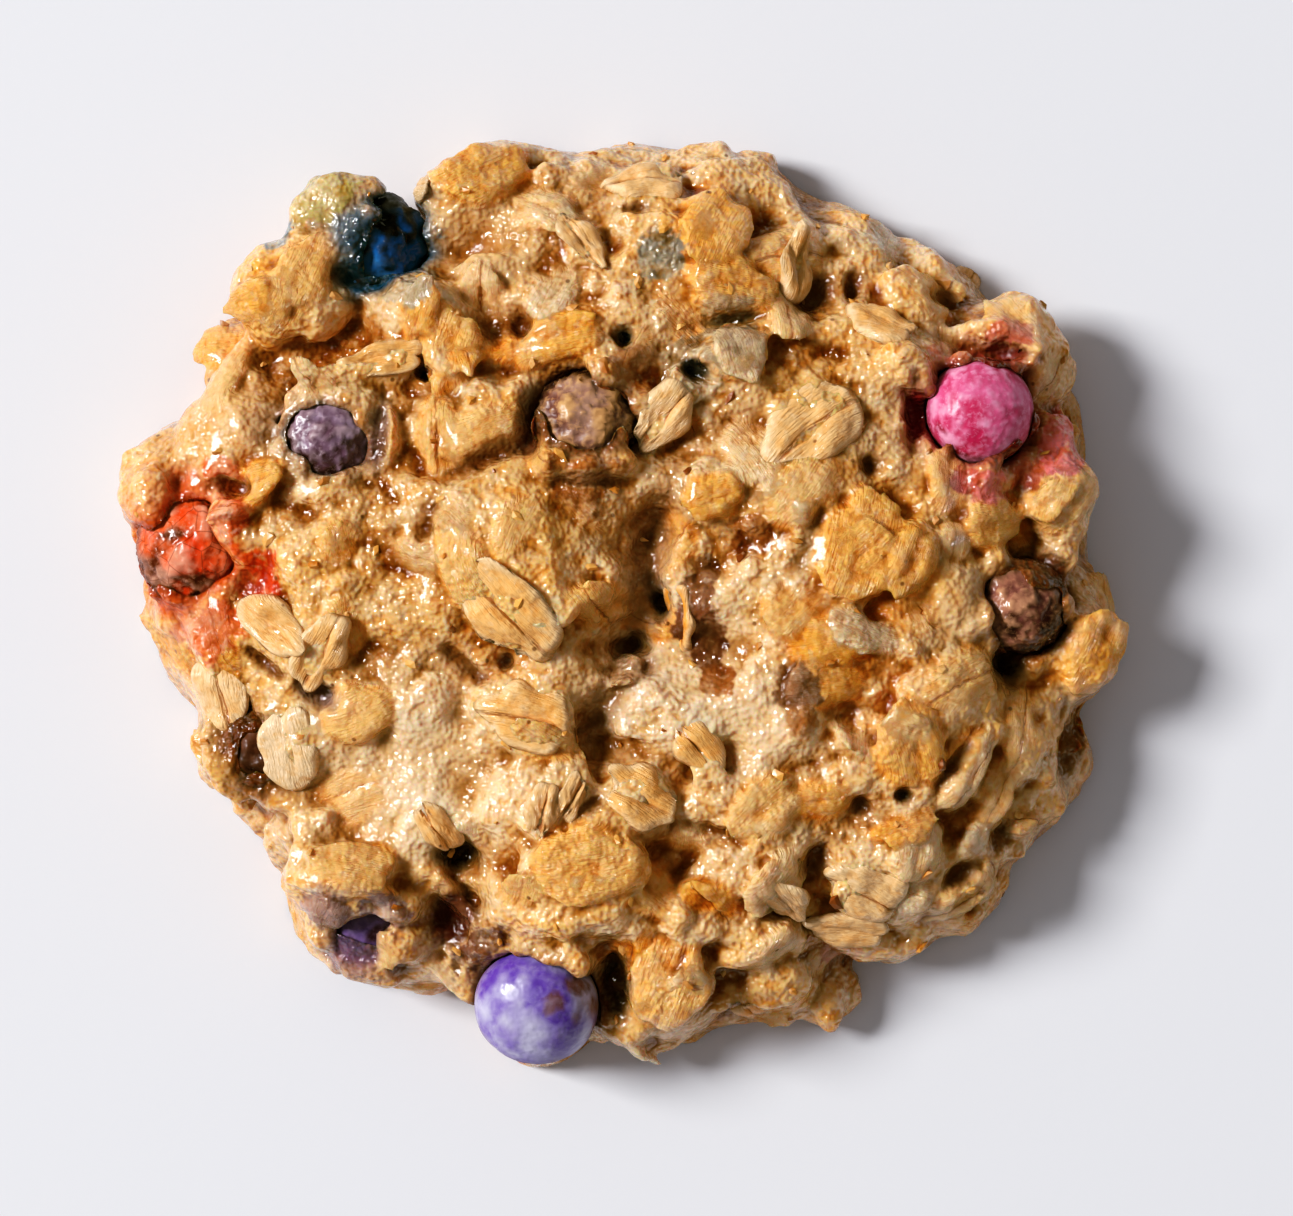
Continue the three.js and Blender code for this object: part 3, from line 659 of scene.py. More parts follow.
def raised(mesh, lump_size, lump_depth, grain_size, grain_depth, seed, most=None):
    """A mesh with lumps and grain raised on it, thinned to a number of triangles if one is given."""
    points = points_of(mesh)
    put_values(mesh, "open", np.clip(points[:, 2] / (1.5 * MM), 0, 1) * (1 - 0.5 * smoothness(points)))
    thing = add_object("raised", mesh)
    use_tree(thing, relief, {"Lump Size": lump_size * MM, "Lump Depth": lump_depth * MM,
                             "Grain Size": grain_size * MM, "Grain Depth": grain_depth * MM, "Seed": seed})
    if most:
        thin_out(thing, min(1.0, most / (2 * len(mesh.polygons))))
    return settled(thing)


def raggedness(points):
    """How much wider or narrower than its listed size a pit or a patch is at points."""
    return 0.4 + 0.7 * cloud(points, 0.9 * MM, 12) + 0.6 * cloud(points, 2.4 * MM, 13)


def cleft_share(points, ragged, x, y, length, width, turn):
    """1 in the middle of a cleft, falling to 0 round its edge."""
    heading = math.radians(turn)
    along = (points[:, 0] / MM - x) * math.cos(heading) + (points[:, 1] / MM - y) * math.sin(heading)
    aside = (points[:, 1] / MM - y) * math.cos(heading) - (points[:, 0] / MM - x) * math.sin(heading)
    away = ((2 * along / length) ** 2 + (2 * aside / width) ** 2) * ragged
    return np.exp(-(away**1.3)) * (points[:, 2] > 2 * MM)


def carved(mesh):
    """The mesh with its clefts cut, pushed down and a little inwards."""
    points = points_of(mesh)
    upward = np.clip(normals_of(mesh)[:, 2] * 2 + 0.6, 0, 1)
    ragged = raggedness(points)
    for x, y, length, width, turn, depth, tone, strength in CLEFTS:
        share = cleft_share(points, ragged, x, y, length, width, turn) * upward
        points -= np.outer(share * 0.8 * depth * MM, [0.012 * x, 0.012 * y, 1])
    set_points(mesh, points)
    return mesh


def pitted(mesh):
    """The mesh with pores and shallow dents in its base, as steam leaves them on a tray."""
    points = points_of(mesh)
    low = np.clip(1 - points[:, 2] / (0.5 * MM), 0, 1)
    dents = 0.4 * np.clip(2.4 * cloud(points, 5 * MM, 71) - 0.9, 0, 1)
    pores = 0.6 * np.clip(4 * cloud(points, 1.4 * MM, 72) - 2.6, 0, 1)
    points[:, 2] += low * (dents + pores + 0.14 * cloud(points, 0.7 * MM, 73)) * MM
    set_points(mesh, points)
    return mesh


SHELL_CLEAR = 0.12 * MM


def clear_of_candies(mesh):
    """The mesh with whatever reaches into a candy or below the table pushed back out."""
    points = points_of(mesh)
    for name in CANDY_NAMES:
        middle, directions, reach = candy_seats[name]
        local = (points - middle) @ directions.T
        share = np.linalg.norm(local / (reach + SHELL_CLEAR), axis=1)
        inside = share < 1
        local[inside] /= np.maximum(share[inside], 0.05)[:, None]
        points[inside] = middle + local[inside] @ directions
    points[:, 2] = np.maximum(points[:, 2], 0)
    set_points(mesh, points)
    return mesh


def collar_rows(name, start, end, over):
    """Small lumps along a stretch of a candy's rim, as rows of place, length, width, turn and rise."""
    middle, directions, reach = candy_seats[name]
    draw = np.random.default_rng(CANDY_NAMES.index(name) + 60)
    out = reach[:2].mean() / MM - over
    rows = []
    for turn in np.arange(start, end, 24):
        bearing = math.radians(turn + draw.uniform(-8, 8))
        away = out + draw.uniform(-0.3, 0.6)
        place = (middle[0] / MM + away * math.cos(bearing), middle[1] / MM + away * math.sin(bearing))
        rows.append((*place, draw.uniform(1.8, 3.2), draw.uniform(1.4, 2.4), turn + draw.uniform(50, 130),
                     draw.uniform(0.8, 1.5)))
    return rows


solid = bmesh.new()
solid.from_mesh(frame["nodes"]["cookie"].data)
bmesh.ops.remove_doubles(solid, verts=solid.verts, dist=1e-6)
form = bpy.data.meshes.new("form")
solid.to_mesh(form)
solid.free()
core = fused(form, CORE_VOXEL, rounds=12)
swollen = points_of(core) + normals_of(core) * SWELL
over = np.maximum(swollen[:, 1] - CAP_TOP, 0) * (swollen[:, 0] < CAP_RIGHT)
swollen[:, 1] -= CAP_DRAW * over
set_points(core, np.maximum(swollen, (-1, -1, 0)))
candy_solids = [frame["nodes"][name].data for name in CANDY_NAMES]
ground = ground_of(joined("ground", [core] + candy_solids))
heaped = MOUNDS + CREEPS + [row for collar in COLLARS for row in collar_rows(*collar)]
heaps = [(*row[:5], number % BLOB_KINDS, 0.5) for number, row in enumerate(heaped)]
mounds = laid(ground, heaps, [2 * row[5] for row in heaped], lift=-0.2, shapes=blob_shapes)
lump_room = open_room(core, clear=1.2) * away_from(BARE_OATS, points_of(core))
lumps = strewn(core, lump_room, blob_shapes, spacing=2.3, sizes=(1, 2.6), flatness=0.7, sink=0.32,
               tilt=0.5, seed=4)
batter = fused(joined("batter", [core, mounds, lumps]), BATTER_VOXEL, rounds=2)
batter = raised(batter, lump_size=1.8, lump_depth=0.6, grain_size=0.9, grain_depth=0.3, seed=2.0)
glazed = laid(ground_of(batter), GLAZED_OATS, [GLAZED_HEIGHT for row in GLAZED_OATS], lift=-0.3,
              shapes=oat_shapes)
oat_room = open_room(batter, clear=1.6) * away_from(BARE_OATS + BARE_OF_OATS, points_of(batter))
sunken = strewn(batter, oat_room, oat_shapes, spacing=4.6, sizes=(3, 6.6), flatness=1.05, sink=0.42,
                tilt=0.28, seed=8)
base_room = 1.0 * (normals_of(core)[:, 2] < -0.9)
pressed = strewn(core, base_room, oat_shapes, spacing=5, sizes=(5, 8), flatness=1, sink=0.3,
                 tilt=0.06, seed=9)
OAT_VALUES = ("oat_along", "oat_across", "oat_rim", "oat_crease", "tone")
oat_bed = joined("oat_bed", [glazed, sunken, pressed], OAT_VALUES)
skin = fused(joined("skin", [batter, glazed, sunken]), SKIN_VOXEL, rounds=7)
skin = clear_of_candies(carved(pitted(skin)))
skin = raised(skin, lump_size=1.1, lump_depth=0.34, grain_size=0.55, grain_depth=0.12, seed=5.0,
              most=MOST_TRIANGLES)
dough_mesh = clear_of_candies(skin)


def reading_tree():
    """Stores how far each place lies below its surroundings, and which oat it shows and where on it."""
    tree, given, result = shape_tree("read_dough", {"Oats": "Object"})
    place = tree.nodes.new("GeometryNodeInputPosition").outputs[0]
    outward = tree.nodes.new("GeometryNodeInputNormal").outputs[0]
    read = {}
    for label, rounds in (("crevice", 3), ("hollow", 10), ("dell", 110)):
        around = node(tree, "GeometryNodeBlurAttribute", {"Value": place, "Iterations": rounds},
                      data_type="FLOAT_VECTOR").outputs[0]
        away = vector_node(tree, "SUBTRACT", around, place)[0]
        read[label] = vector_node(tree, "DOT_PRODUCT", away, outward)["Value"]
    oats = node(tree, "GeometryNodeObjectInfo", {"Object": given["Oats"]}).outputs["Geometry"]
    # The pale rim isn't read: under the glaze an oat has none
    for label in ("oat_along", "oat_across", "oat_crease", "tone"):
        read[label] = node(tree, "GeometryNodeSampleNearestSurface", {
            "Mesh": oats, "Value": named_value(tree, label)}, data_type="FLOAT").outputs["Value"]
    read["oat_away"] = node(tree, "GeometryNodeProximity", {"Geometry": oats},
                            target_element="FACES").outputs["Distance"]
    shape = given["Geometry"]
    for label, value in read.items():
        shape = node(tree, "GeometryNodeStoreNamedAttribute", {
            "Geometry": shape, "Name": label, "Value": value}, data_type="FLOAT", domain="POINT").outputs[0]
    tree.links.new(shape, result[0])
    return tree


oats_seen = add_object("oats_seen", oat_bed)
thing = add_object("dough", dough_mesh)
use_tree(thing, reading_tree(), {"Oats": oats_seen})
dough_mesh = settled(thing)
bpy.data.objects.remove(oats_seen)

# Umber paints shade in the dells; dark, violet and ink paint shade in the clefts and round the candies, and
# so do brown and wine, which also serve as crust and as a stain
DOUGH_COLOURS = {
    "batter": (231, 187, 128), "pale": (241, 214, 178), "gold": (250, 188, 103), "orange": (240, 164, 60),
    "grey": (212, 173, 127), "crust": (182, 112, 50), "brown": (112, 54, 16), "dark": (40, 13, 5),
    "wine": (84, 12, 18), "violet": (92, 60, 72), "ink": (12, 16, 22), "cocoa": (118, 60, 34),
    "mocha": (166, 104, 54), "umber": (180, 124, 64), "pink": (178, 28, 58), "blush": (230, 128, 128),
    "red": (218, 80, 28), "teal": (40, 108, 138), "slate": (146, 148, 138), "moss": (156, 150, 84),
    "purple": (88, 52, 104),
}
tones = {tone: linear(*colour) for tone, colour in DOUGH_COLOURS.items()}
# Where the dough's tone changes: place and spread in millimetres, tone and strength
TONE_PATCHES = [
    (-16.5, -13, 9, "pale", 0.95), (4.4, -4, 7.5, "pale", 0.95), (2.6, -1.5, 4, "pale", 0.8),
    (0, -10.5, 4.5, "pale", 0.5), (12, 1, 5, "pale", 0.5), (8, 10, 5, "pale", 0.45),
    (-26, 12, 4, "pale", 0.5), (24, -4, 5, "pale", 0.4), (18.7, 10.5, 4, "grey", 0.5),
    (25.8, -0.6, 3.6, "grey", 0.6), (-10.7, 27.2, 6, "grey", 0.6), (-14.5, 8, 5, "grey", 0.4),
    (-32.8, 14.6, 5, "crust", 0.35), (9, -10, 6, "pale", 0.6), (6.8, 29, 4, "orange", 0.8),
    (-5.4, 20.2, 3.6, "orange", 0.8), (16.3, -2.7, 3.8, "orange", 0.8), (37, -3.8, 4, "orange", 0.7),
    (-28.8, 23.4, 3.2, "orange", 0.8), (8, 24.2, 3.6, "gold", 0.7), (19.6, 3.6, 5, "gold", 0.8),
    (-8.6, 1, 6, "gold", 0.4), (-2.8, -20.4, 5, "gold", 0.6), (21.9, -10.8, 4, "orange", 0.5),
    (6.4, 2.6, 1, "cocoa", 0.7), (5.6, 0.8, 1.4, "cocoa", 0.85), (5.4, -1.6, 1.7, "cocoa", 0.95),
    (6.4, -3.6, 1.5, "cocoa", 0.85), (7.2, -6, 1.3, "mocha", 0.9), (13.2, -6.6, 1.8, "cocoa", 0.75),
    (13.6, -9, 1.3, "mocha", 0.8), (9.7, 5.1, 1.7, "mocha", 0.8), (-3, 10.2, 3, "mocha", 0.9),
    (0.8, 17.4, 2.2, "mocha", 0.8), (31, -3.4, 2, "mocha", 0.6), (2.8, 26.8, 1.9, "slate", 0.85),
    (4.8, 17.6, 2.6, "slate", 0.5), (8.2, 21.6, 2.4, "slate", 0.5), (-15.9, 28.2, 1.7, "teal", 0.7),
    (-17, 25.4, 2.6, "slate", 0.6), (-23, 31.8, 3, "moss", 0.75), (-27.2, 28.8, 1.3, "teal", 0.8),
    (-11.5, -27, 2.4, "wine", 0.85), (-18.5, -24.2, 1.8, "purple", 0.7), (-23, -24, 2, "purple", 0.6),
    (33.4, 12.6, 2.8, "blush", 0.95), (28.6, 9.4, 1.9, "blush", 0.9), (29.8, 20.2, 2, "pink", 0.7),
    (25, 18.6, 1.7, "blush", 0.6), (26.4, 9.8, 1.5, "pink", 0.8), (31, 10.7, 1.9, "pink", 0.7),
    (-28.9, 2, 2.2, "red", 0.95), (-32.6, -1.2, 3, "red", 0.75), (-35.8, -3.6, 2.6, "orange", 0.6),
    (-31.4, 9.4, 1.8, "red", 0.8), (-30.7, 3.2, 1.8, "red", 0.95), (-30.4, 6.4, 1.7, "red", 0.85),
    (17, -27.6, 1.6, "blush", 0.4),
]
BATTER_TONES = ("batter", "pale", "gold", "orange", "grey", "crust")
# Colour round the candies: candy, tone, reach and strength
# The pink, red and teal are dye that has run from them; the darker tones close round them are painted shade
# in their sockets' gaps
DYES_AND_SOCKET_SHADE = [
    ("candy_pink", "pink", 1.5, 0.9), ("candy_pink", "wine", 0.7, 0.9), ("candy_purple", "wine", 0.9, 0.9),
    ("candy_orange", "red", 1.7, 1), ("candy_orange", "dark", 0.5, 0.7), ("candy_blue", "teal", 1.3, 1),
    ("candy_blue", "ink", 0.6, 0.9), ("candy_brown_top", "cocoa", 0.9, 1),
    ("candy_violet", "violet", 0.9, 0.8), ("candy_brown_side", "cocoa", 1, 1),
    ("candy_purple_low", "purple", 1, 0.9), ("candy_dark", "brown", 1.2, 0.9),
]


def mixed(tint, colour, share):
    return tint + (colour - tint) * np.clip(share, 0, 1)[:, None]


def dough_tint(mesh):
    """The dough's colour at its points, with painted shade in its dells, clefts and the gaps round the
    candies, how far it hides the oats, the stains and their strength.
    """
    points = points_of(mesh)
    normals = normals_of(mesh)
    hollow = values_of(mesh, "hollow") / MM
    dell = values_of(mesh, "dell") / MM
    fine = cloud(points, 2.2 * MM, 2)
    tint = np.tile(tones["batter"], (len(points), 1))
    tint = mixed(tint, tones["pale"], 0.6 * np.clip(2.4 * cloud(points, 7 * MM, 1) - 0.8, 0, 1))
    tint = mixed(tint, tones["grey"], 0.5 * np.clip(2.4 * cloud(points, 9 * MM, 5) - 1, 0, 1))
    tint = mixed(tint, tones["gold"], np.clip(-dell / 0.8 - 0.2, 0, 0.5) * (0.35 + 0.9 * fine))
    tint = mixed(tint, tones["orange"], 0.25 * np.clip(-hollow / 0.25 - 0.4, 0, 1) * fine)
    # Painted shade: the broad dells are painted a deeper umber
    tint = mixed(tint, tones["umber"], np.clip(dell / 0.6, 0, 0.85) * (0.5 + 0.6 * fine))
    ragged = raggedness(points)
    stain = tint.copy()
    stained = np.zeros(len(points))
    above_base = np.clip(points[:, 2] / (2 * MM) - 1.5, 0, 1)
    for x, y, spread, tone, strength in TONE_PATCHES:
        away = np.hypot(points[:, 0] / MM - x, points[:, 1] / MM - y) / spread
        if tone in BATTER_TONES:
            tint = mixed(tint, tones[tone], strength * np.exp(-((away * ragged) ** 3)))
            continue
        share = np.exp(-0.7 * away**2) * above_base
        stain = mixed(stain, tones[tone] * strength + tint * (1 - strength), share > stained)
        stained = np.maximum(stained, share)
    low = np.clip(1.1 - points[:, 2] / (6 * MM), 0, 1) * np.clip(1.1 - normals[:, 2], 0, 1)
    tint = mixed(tint, tones["crust"], low * (0.4 + 0.6 * fine))
    hidden = np.zeros(len(points))
    # Painted shade: each cleft's depths take its dark tone, tinted near the candies by their dye, and it
    # hides the oats there
    for x, y, length, width, turn, depth, tone, strength in CLEFTS:
        share = strength * np.clip(1.5 * cleft_share(points, ragged, x, y, length, width, turn), 0, 1)
        tint = mixed(tint, tones[tone], share)
        hidden = np.maximum(hidden, share)
    # Dye and painted shade: each candy's tones are painted round it, falling off with the distance from its
    # shell
    for name, tone, reach, strength in DYES_AND_SOCKET_SHADE:
        away = np.maximum(candy_distance(points, name), 0) / (reach * MM)
        share = strength * np.exp(-((away * ragged) ** 1.8))
        tint = mixed(tint, tones[tone], share)
        hidden = np.maximum(hidden, share)
    under = np.clip(-normals[:, 2] * 2 - 0.6, 0, 1) * (points[:, 2] < 1.5 * MM)
    tint = mixed(tint, tones["crust"], under * (0.7 + 0.3 * fine))
    tint = mixed(tint, tones["brown"], 0.5 * under * np.clip(2.5 * cloud(points, 4 * MM, 3) - 1.2, 0, 1))
    return tint, np.maximum(hidden, 0.5 * under), stain, stained * (1 - hidden)


def put_colours(mesh, label, colours):
    put_values(mesh, label, np.hstack([colours, np.ones((len(colours), 1))]))


tint, hidden, stain, stained = dough_tint(dough_mesh)
put_colours(dough_mesh, "tint", tint)
put_colours(dough_mesh, "stain", stain)
put_values(dough_mesh, "stained", stained)
bare = 1 - np.clip(values_of(dough_mesh, "oat_away") / (0.4 * MM) - 0.35, 0, 1)
put_values(dough_mesh, "oat_show", bare * (1 - hidden))
smooth = smoothness(points_of(dough_mesh))
# How strongly the mottling and the painted shade in the hollows show
put_values(dough_mesh, "mottle", (1 - 0.9 * hidden) * (1 - 0.5 * smooth) * (1 - 0.45 * bare))
# Painted shade: the colour is deepened, darker and more saturated, with the depth of the hollows and dells
depth = 1.6 * values_of(dough_mesh, "hollow") / MM + 0.9 * values_of(dough_mesh, "dell") / MM
put_values(dough_mesh, "deepening", 1 + 0.3 * np.clip(0.25 + depth, -0.4, 1.5) * (1 - hidden))
put_values(dough_mesh, "curd", 1 - 0.2 * smooth)


def colour_group(name, inputs, outputs):
    """An empty shader group with named sockets, and its input and output sockets."""
    tree = bpy.data.node_groups.new(name, "ShaderNodeTree")
    for labels, side in ((inputs, "INPUT"), (outputs, "OUTPUT")):
        for label in labels:
            kind = "NodeSocketColor" if label == "Colour" else "NodeSocketFloat"
            tree.interface.new_socket(label, in_out=side, socket_type=kind)
    return tree, tree.nodes.new("NodeGroupInput").outputs, tree.nodes.new("NodeGroupOutput").inputs


def paint(red, green, blue):
    """A colour as it shows on a screen, for a shader."""
    return (*linear(red, green, blue), 1)


def ramp(tree, value, low, high, most=1.0):
    """0 below one value, the most above another, and smooth between."""
    sockets = {"Value": value, "From Min": low, "From Max": high, "To Max": most}
    return node(tree, "ShaderNodeMapRange", sockets, interpolation_type="SMOOTHSTEP").outputs["Result"]


def blend(tree, share, first, second, way="MIX"):
    """One colour laid over another."""
    return node(tree, "ShaderNodeMix", {0: share, 6: first, 7: second}, data_type="RGBA",
                blend_type=way).outputs[2]


def noise_of(tree, where, scale, detail=3.0, roughness=0.5):
    return node(tree, "ShaderNodeTexNoise", {
        "Vector": where, "Scale": scale, "Detail": detail, "Roughness": roughness}).outputs[0]


def browning_group():
    """What baking does to a colour: warm mottling, pale flecks, toasted ridges and specks; with painted
    shade that darkens the hollows, the crevices and the low spots of the grain.
    """
    inputs = ("Colour", "Crevice", "Hollow", "Deepening", "Mottle", "Grain")
    tree, given, result = colour_group("browning", inputs, ("Colour",))
    where = tree.nodes.new("ShaderNodeTexCoord").outputs["Object"]

    # Lays a colour over by a share that is scaled by the strength of mottling and painted shade
    def blotched_and_shaded(colour, value, low, high, most, over, way="MULTIPLY"):
        share = times(tree, ramp(tree, value, low, high, most), given["Mottle"])
        return blend(tree, share, colour, over, way)

    warm = noise_of(tree, where, 620.0, 3.0, 0.62)
    colour = blotched_and_shaded(given["Colour"], warm, 0.42, 0.66, 0.5, (1.0, 0.82, 0.52, 1))
    fleck = noise_of(tree, where, 1500.0, 2.0)
    colour = blotched_and_shaded(colour, fleck, 0.54, 0.7, 0.4, paint(242, 220, 192), "MIX")
    cream = noise_of(tree, where, 340.0, 3.0, 0.55)
    colour = blotched_and_shaded(colour, cream, 0.48, 0.66, 0.4, paint(238, 211, 173), "MIX")
    toast = ramp(tree, given["Hollow"], -0.05 * MM, -0.3 * MM, 0.15)
    colour = blend(tree, toast, colour, (1.0, 0.86, 0.62, 1), "MULTIPLY")
    # Painted shade: a gamma deepens the colour; for the dough it grows with the depth of its hollows
    colour = node(tree, "ShaderNodeGamma", {"Color": colour, "Gamma": given["Deepening"]}).outputs[0]
    # Painted shade: hollows, crevices and the low spots of the fine grain are painted darker and browner
    colour = blotched_and_shaded(colour, given["Hollow"], 0.02 * MM, 0.28 * MM, 0.9, (0.62, 0.45, 0.2, 1))
    colour = blotched_and_shaded(colour, given["Crevice"], 0.02 * MM, 0.11 * MM, 0.7, (0.6, 0.41, 0.18, 1))
    colour = blotched_and_shaded(colour, given["Grain"], 0.7, 0.5, 0.7, (0.84, 0.58, 0.28, 1))
    grains = node(tree, "ShaderNodeTexVoronoi", {"Vector": where, "Scale": 520.0}).outputs["Distance"]
    some = ramp(tree, noise_of(tree, where, 210.0, 1.0), 0.5, 0.6)
    speck = times(tree, ramp(tree, grains, 0.13, 0.05, 0.7), some)
    tree.links.new(blend(tree, speck, colour, paint(92, 44, 20)), result["Colour"])
    return tree


def glaze_group():
    """The wet glaze of egg and sugar: where it lies, the surface is smoother and clear-coated."""
    tree, given, result = colour_group("glaze", ("Patch", "Dry", "Wet"), ("Roughness", "Coat", "Grain"))
    where = tree.nodes.new("ShaderNodeTexCoord").outputs["Object"]
    share = ramp(tree, noise_of(tree, where, given["Patch"], 2.0), 0.36, 0.58)
    span = math_node(tree, "SUBTRACT", given["Wet"], given["Dry"])
    rough = math_node(tree, "MULTIPLY_ADD", share, span, given["Dry"])
    coarse = noise_of(tree, where, 1000.0, 1.0)
    small = noise_of(tree, where, 2600.0, 0.0)
    tree.links.new(rough, result["Roughness"])
    tree.links.new(times(tree, share, 0.5), result["Coat"])
    tree.links.new(math_node(tree, "MULTIPLY_ADD", small, 0.4, coarse), result["Grain"])
    return tree


def toned(tree, value, first, middle, last, halfway):
    """A colour that runs from one over a middle one to another."""
    made = node(tree, "ShaderNodeValToRGB", {0: value})
    stops = made.color_ramp.elements
    stops[0].color = paint(*first)
    stops[1].color = paint(*last)
    stops.new(halfway).color = paint(*middle)
    return made.outputs[0]


def oat_group():
    """An oat's own colour and relief: tone, fibres along it, the brown crease and the pale rim."""
    inputs = ("Along", "Across", "Rim", "Crease", "Tone")
    tree, given, result = colour_group("oat_colour", inputs, ("Colour", "Relief"))
    colour = toned(tree, given["Tone"], (247, 216, 176), (252, 198, 132), (255, 180, 89), 0.5)
    lines = vector_of(tree, times(tree, given["Along"], 1.4), times(tree, given["Across"], 8.0),
                      times(tree, given["Tone"], 40.0))
    fibre = noise_of(tree, lines, 2.0, 3.0, 0.65)
    colour = blend(tree, ramp(tree, fibre, 0.45, 0.7, 0.32), colour, (1.0, 0.74, 0.42, 1), "MULTIPLY")
    near = math_node(tree, "ABSOLUTE", given["Across"])
    line = times(tree, ramp(tree, near, 0.1, 0.02, 0.75), ramp(tree, fibre, 0.36, 0.56))
    crease = times(tree, line, given["Crease"])
    colour = blend(tree, crease, colour, paint(168, 84, 28))
    colour = blend(tree, ramp(tree, given["Rim"], 0.7, 0.98, 0.7), colour, paint(252, 224, 184))
    tree.links.new(colour, result["Colour"])
    tree.links.new(math_node(tree, "SUBTRACT", fibre, crease), result["Relief"])
    return tree


browning = browning_group()
glaze = glaze_group()
oat_colour = oat_group()


def food_material(name):
    """A new material, with its node tree and its shader."""
    material = bpy.data.materials.new(name)
    material.use_nodes = True
    return material, material.node_tree, material.node_tree.nodes["Principled BSDF"]


def grouped(tree, shared, sockets):
    """A shader group put to use, and what it gives."""
    made = tree.nodes.new("ShaderNodeGroup")
    made.node_tree = shared
    feed(tree, made, sockets)
    return made.outputs


def told(tree, label, output="Fac"):
    """A value that the mesh carries."""
    return node(tree, "ShaderNodeAttribute", attribute_name=label).outputs[output]


def oat_look(tree):
    """The shared oat colour, fed with the values that the mesh carries."""
    parts = ("Along", "Across", "Rim", "Crease")
    sockets = {part: told(tree, "oat_" + part.lower()) for part in parts}
    return grouped(tree, oat_colour, {**sockets, "Tone": told(tree, "tone")})


def dough_material():
    material, tree, shader = food_material("baked_dough")
    oats = oat_look(tree)
    shown = told(tree, "oat_show")
    plain = blend(tree, shown, told(tree, "tint", "Color"), oats["Colour"])
    where = tree.nodes.new("ShaderNodeTexCoord").outputs["Object"]
    ragged = noise_of(tree, where, 700.0, 2.0, 0.65)
    edge = math_node(tree, "MULTIPLY_ADD", ragged, 0.9, told(tree, "stained"))
    plain = blend(tree, ramp(tree, edge, 0.82, 1.02), plain, told(tree, "stain", "Color"))
    sheen = grouped(tree, glaze, {"Patch": 330.0, "Dry": 0.14, "Wet": 0.06})
    colour = grouped(tree, browning, {
        "Colour": plain, "Crevice": told(tree, "crevice"), "Hollow": told(tree, "hollow"),
        "Deepening": told(tree, "deepening"), "Mottle": told(tree, "mottle"), "Grain": sheen["Grain"]})
    grain = times(tree, sheen["Grain"], told(tree, "curd"))
    height = math_node(tree, "MULTIPLY_ADD", times(tree, oats["Relief"], shown), 0.6, grain)
    bump = node(tree, "ShaderNodeBump", {"Height": height, "Strength": 1.0, "Distance": 0.55 * MM})
    feed(tree, shader, {
        "Base Color": colour["Colour"], "Roughness": sheen["Roughness"], "Coat Weight": sheen["Coat"],
        "Normal": bump.outputs[0], "Coat Roughness": 0.06, "Specular IOR Level": 0.55,
        "Subsurface Weight": 0.6, "Subsurface Radius": (1.0, 0.42, 0.16), "Subsurface Scale": 0.9 * MM})
    return material


dough = add_object("dough", dough_mesh)
dough.data.materials.append(dough_material())
dough.data.shade_smooth()
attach(dough, "root")
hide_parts("cookie")

# Bare oats
# Flakes that were stirred in last and lie on the crown and the sides, stuck in the glaze and toasted dry.
# The ones that show most are laid one by one, and smaller ones are strewn between them.
BARE_HEIGHT = 5.6


def oat_material():
    material, tree, shader = food_material("toasted_oat")
    oats = oat_look(tree)
    sheen = grouped(tree, glaze, {"Patch": 420.0, "Dry": 0.3, "Wet": 0.14})
    colour = grouped(tree, browning, {
        "Colour": oats["Colour"], "Deepening": 1.08, "Mottle": 0.55, "Grain": sheen["Grain"]})
    height = math_node(tree, "MULTIPLY_ADD", sheen["Grain"], 0.5, oats["Relief"])
    bump = node(tree, "ShaderNodeBump", {"Height": height, "Strength": 0.7, "Distance": 0.4 * MM})
    feed(tree, shader, {
        "Base Color": colour["Colour"], "Roughness": sheen["Roughness"], "Coat Weight": sheen["Coat"],
        "Normal": bump.outputs[0], "Coat Roughness": 0.1, "Specular IOR Level": 0.4})
    return material


oat_finish = oat_material()
dough_ground = ground_of(joined("dough_ground", [dough_mesh] + candy_solids))
big_oats = laid(dough_ground, BARE_OATS, [BARE_HEIGHT for row in BARE_OATS], lift=-0.05, shapes=oat_shapes,
                material=oat_finish)
# The small ones keep to the sides, clear of the listed oats, of a ledge and of the pink candy's rim
KEPT_CLEAR = BARE_OATS + GLAZED_OATS + BARE_OF_OATS + [(-18.6, -30, 6, 6), (24, 12, 6, 6)]
side_room = open_room(dough_mesh, clear=1.4) * away_from(KEPT_CLEAR, points_of(dough_mesh))
side_room *= np.clip(2.2 - 3 * normals_of(dough_mesh)[:, 2], 0, 1)
small_oats = strewn(dough_mesh, side_room, oat_shapes, spacing=9.5, sizes=(3.8, 5.6), flatness=0.95,
                    sink=0.4, tilt=0.25, seed=15, material=oat_finish)
bare_oats = add_object("bare_oats", joined("bare_oats", [big_oats, small_oats], OAT_VALUES))
flat = points_of(bare_oats.data)
rumple = 1.0 * (cloud(flat, 2 * MM, 41) - 0.5) + 0.25 * (cloud(flat, 0.8 * MM, 42) - 0.5)
set_points(bare_oats.data, np.maximum(flat + normals_of(bare_oats.data) * rumple[:, None] * MM, (-1, -1, 0)))
bare_oats.data.materials.append(oat_finish)
bare_oats.data.shade_smooth()
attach(bare_oats, "root")

# Crumbs
# Broken bran and grains of batter that baked dry on the surface, in the clefts and round the rim.
# They are strewn over the dough, each half sunk in it.
CRUMB_KINDS = 4


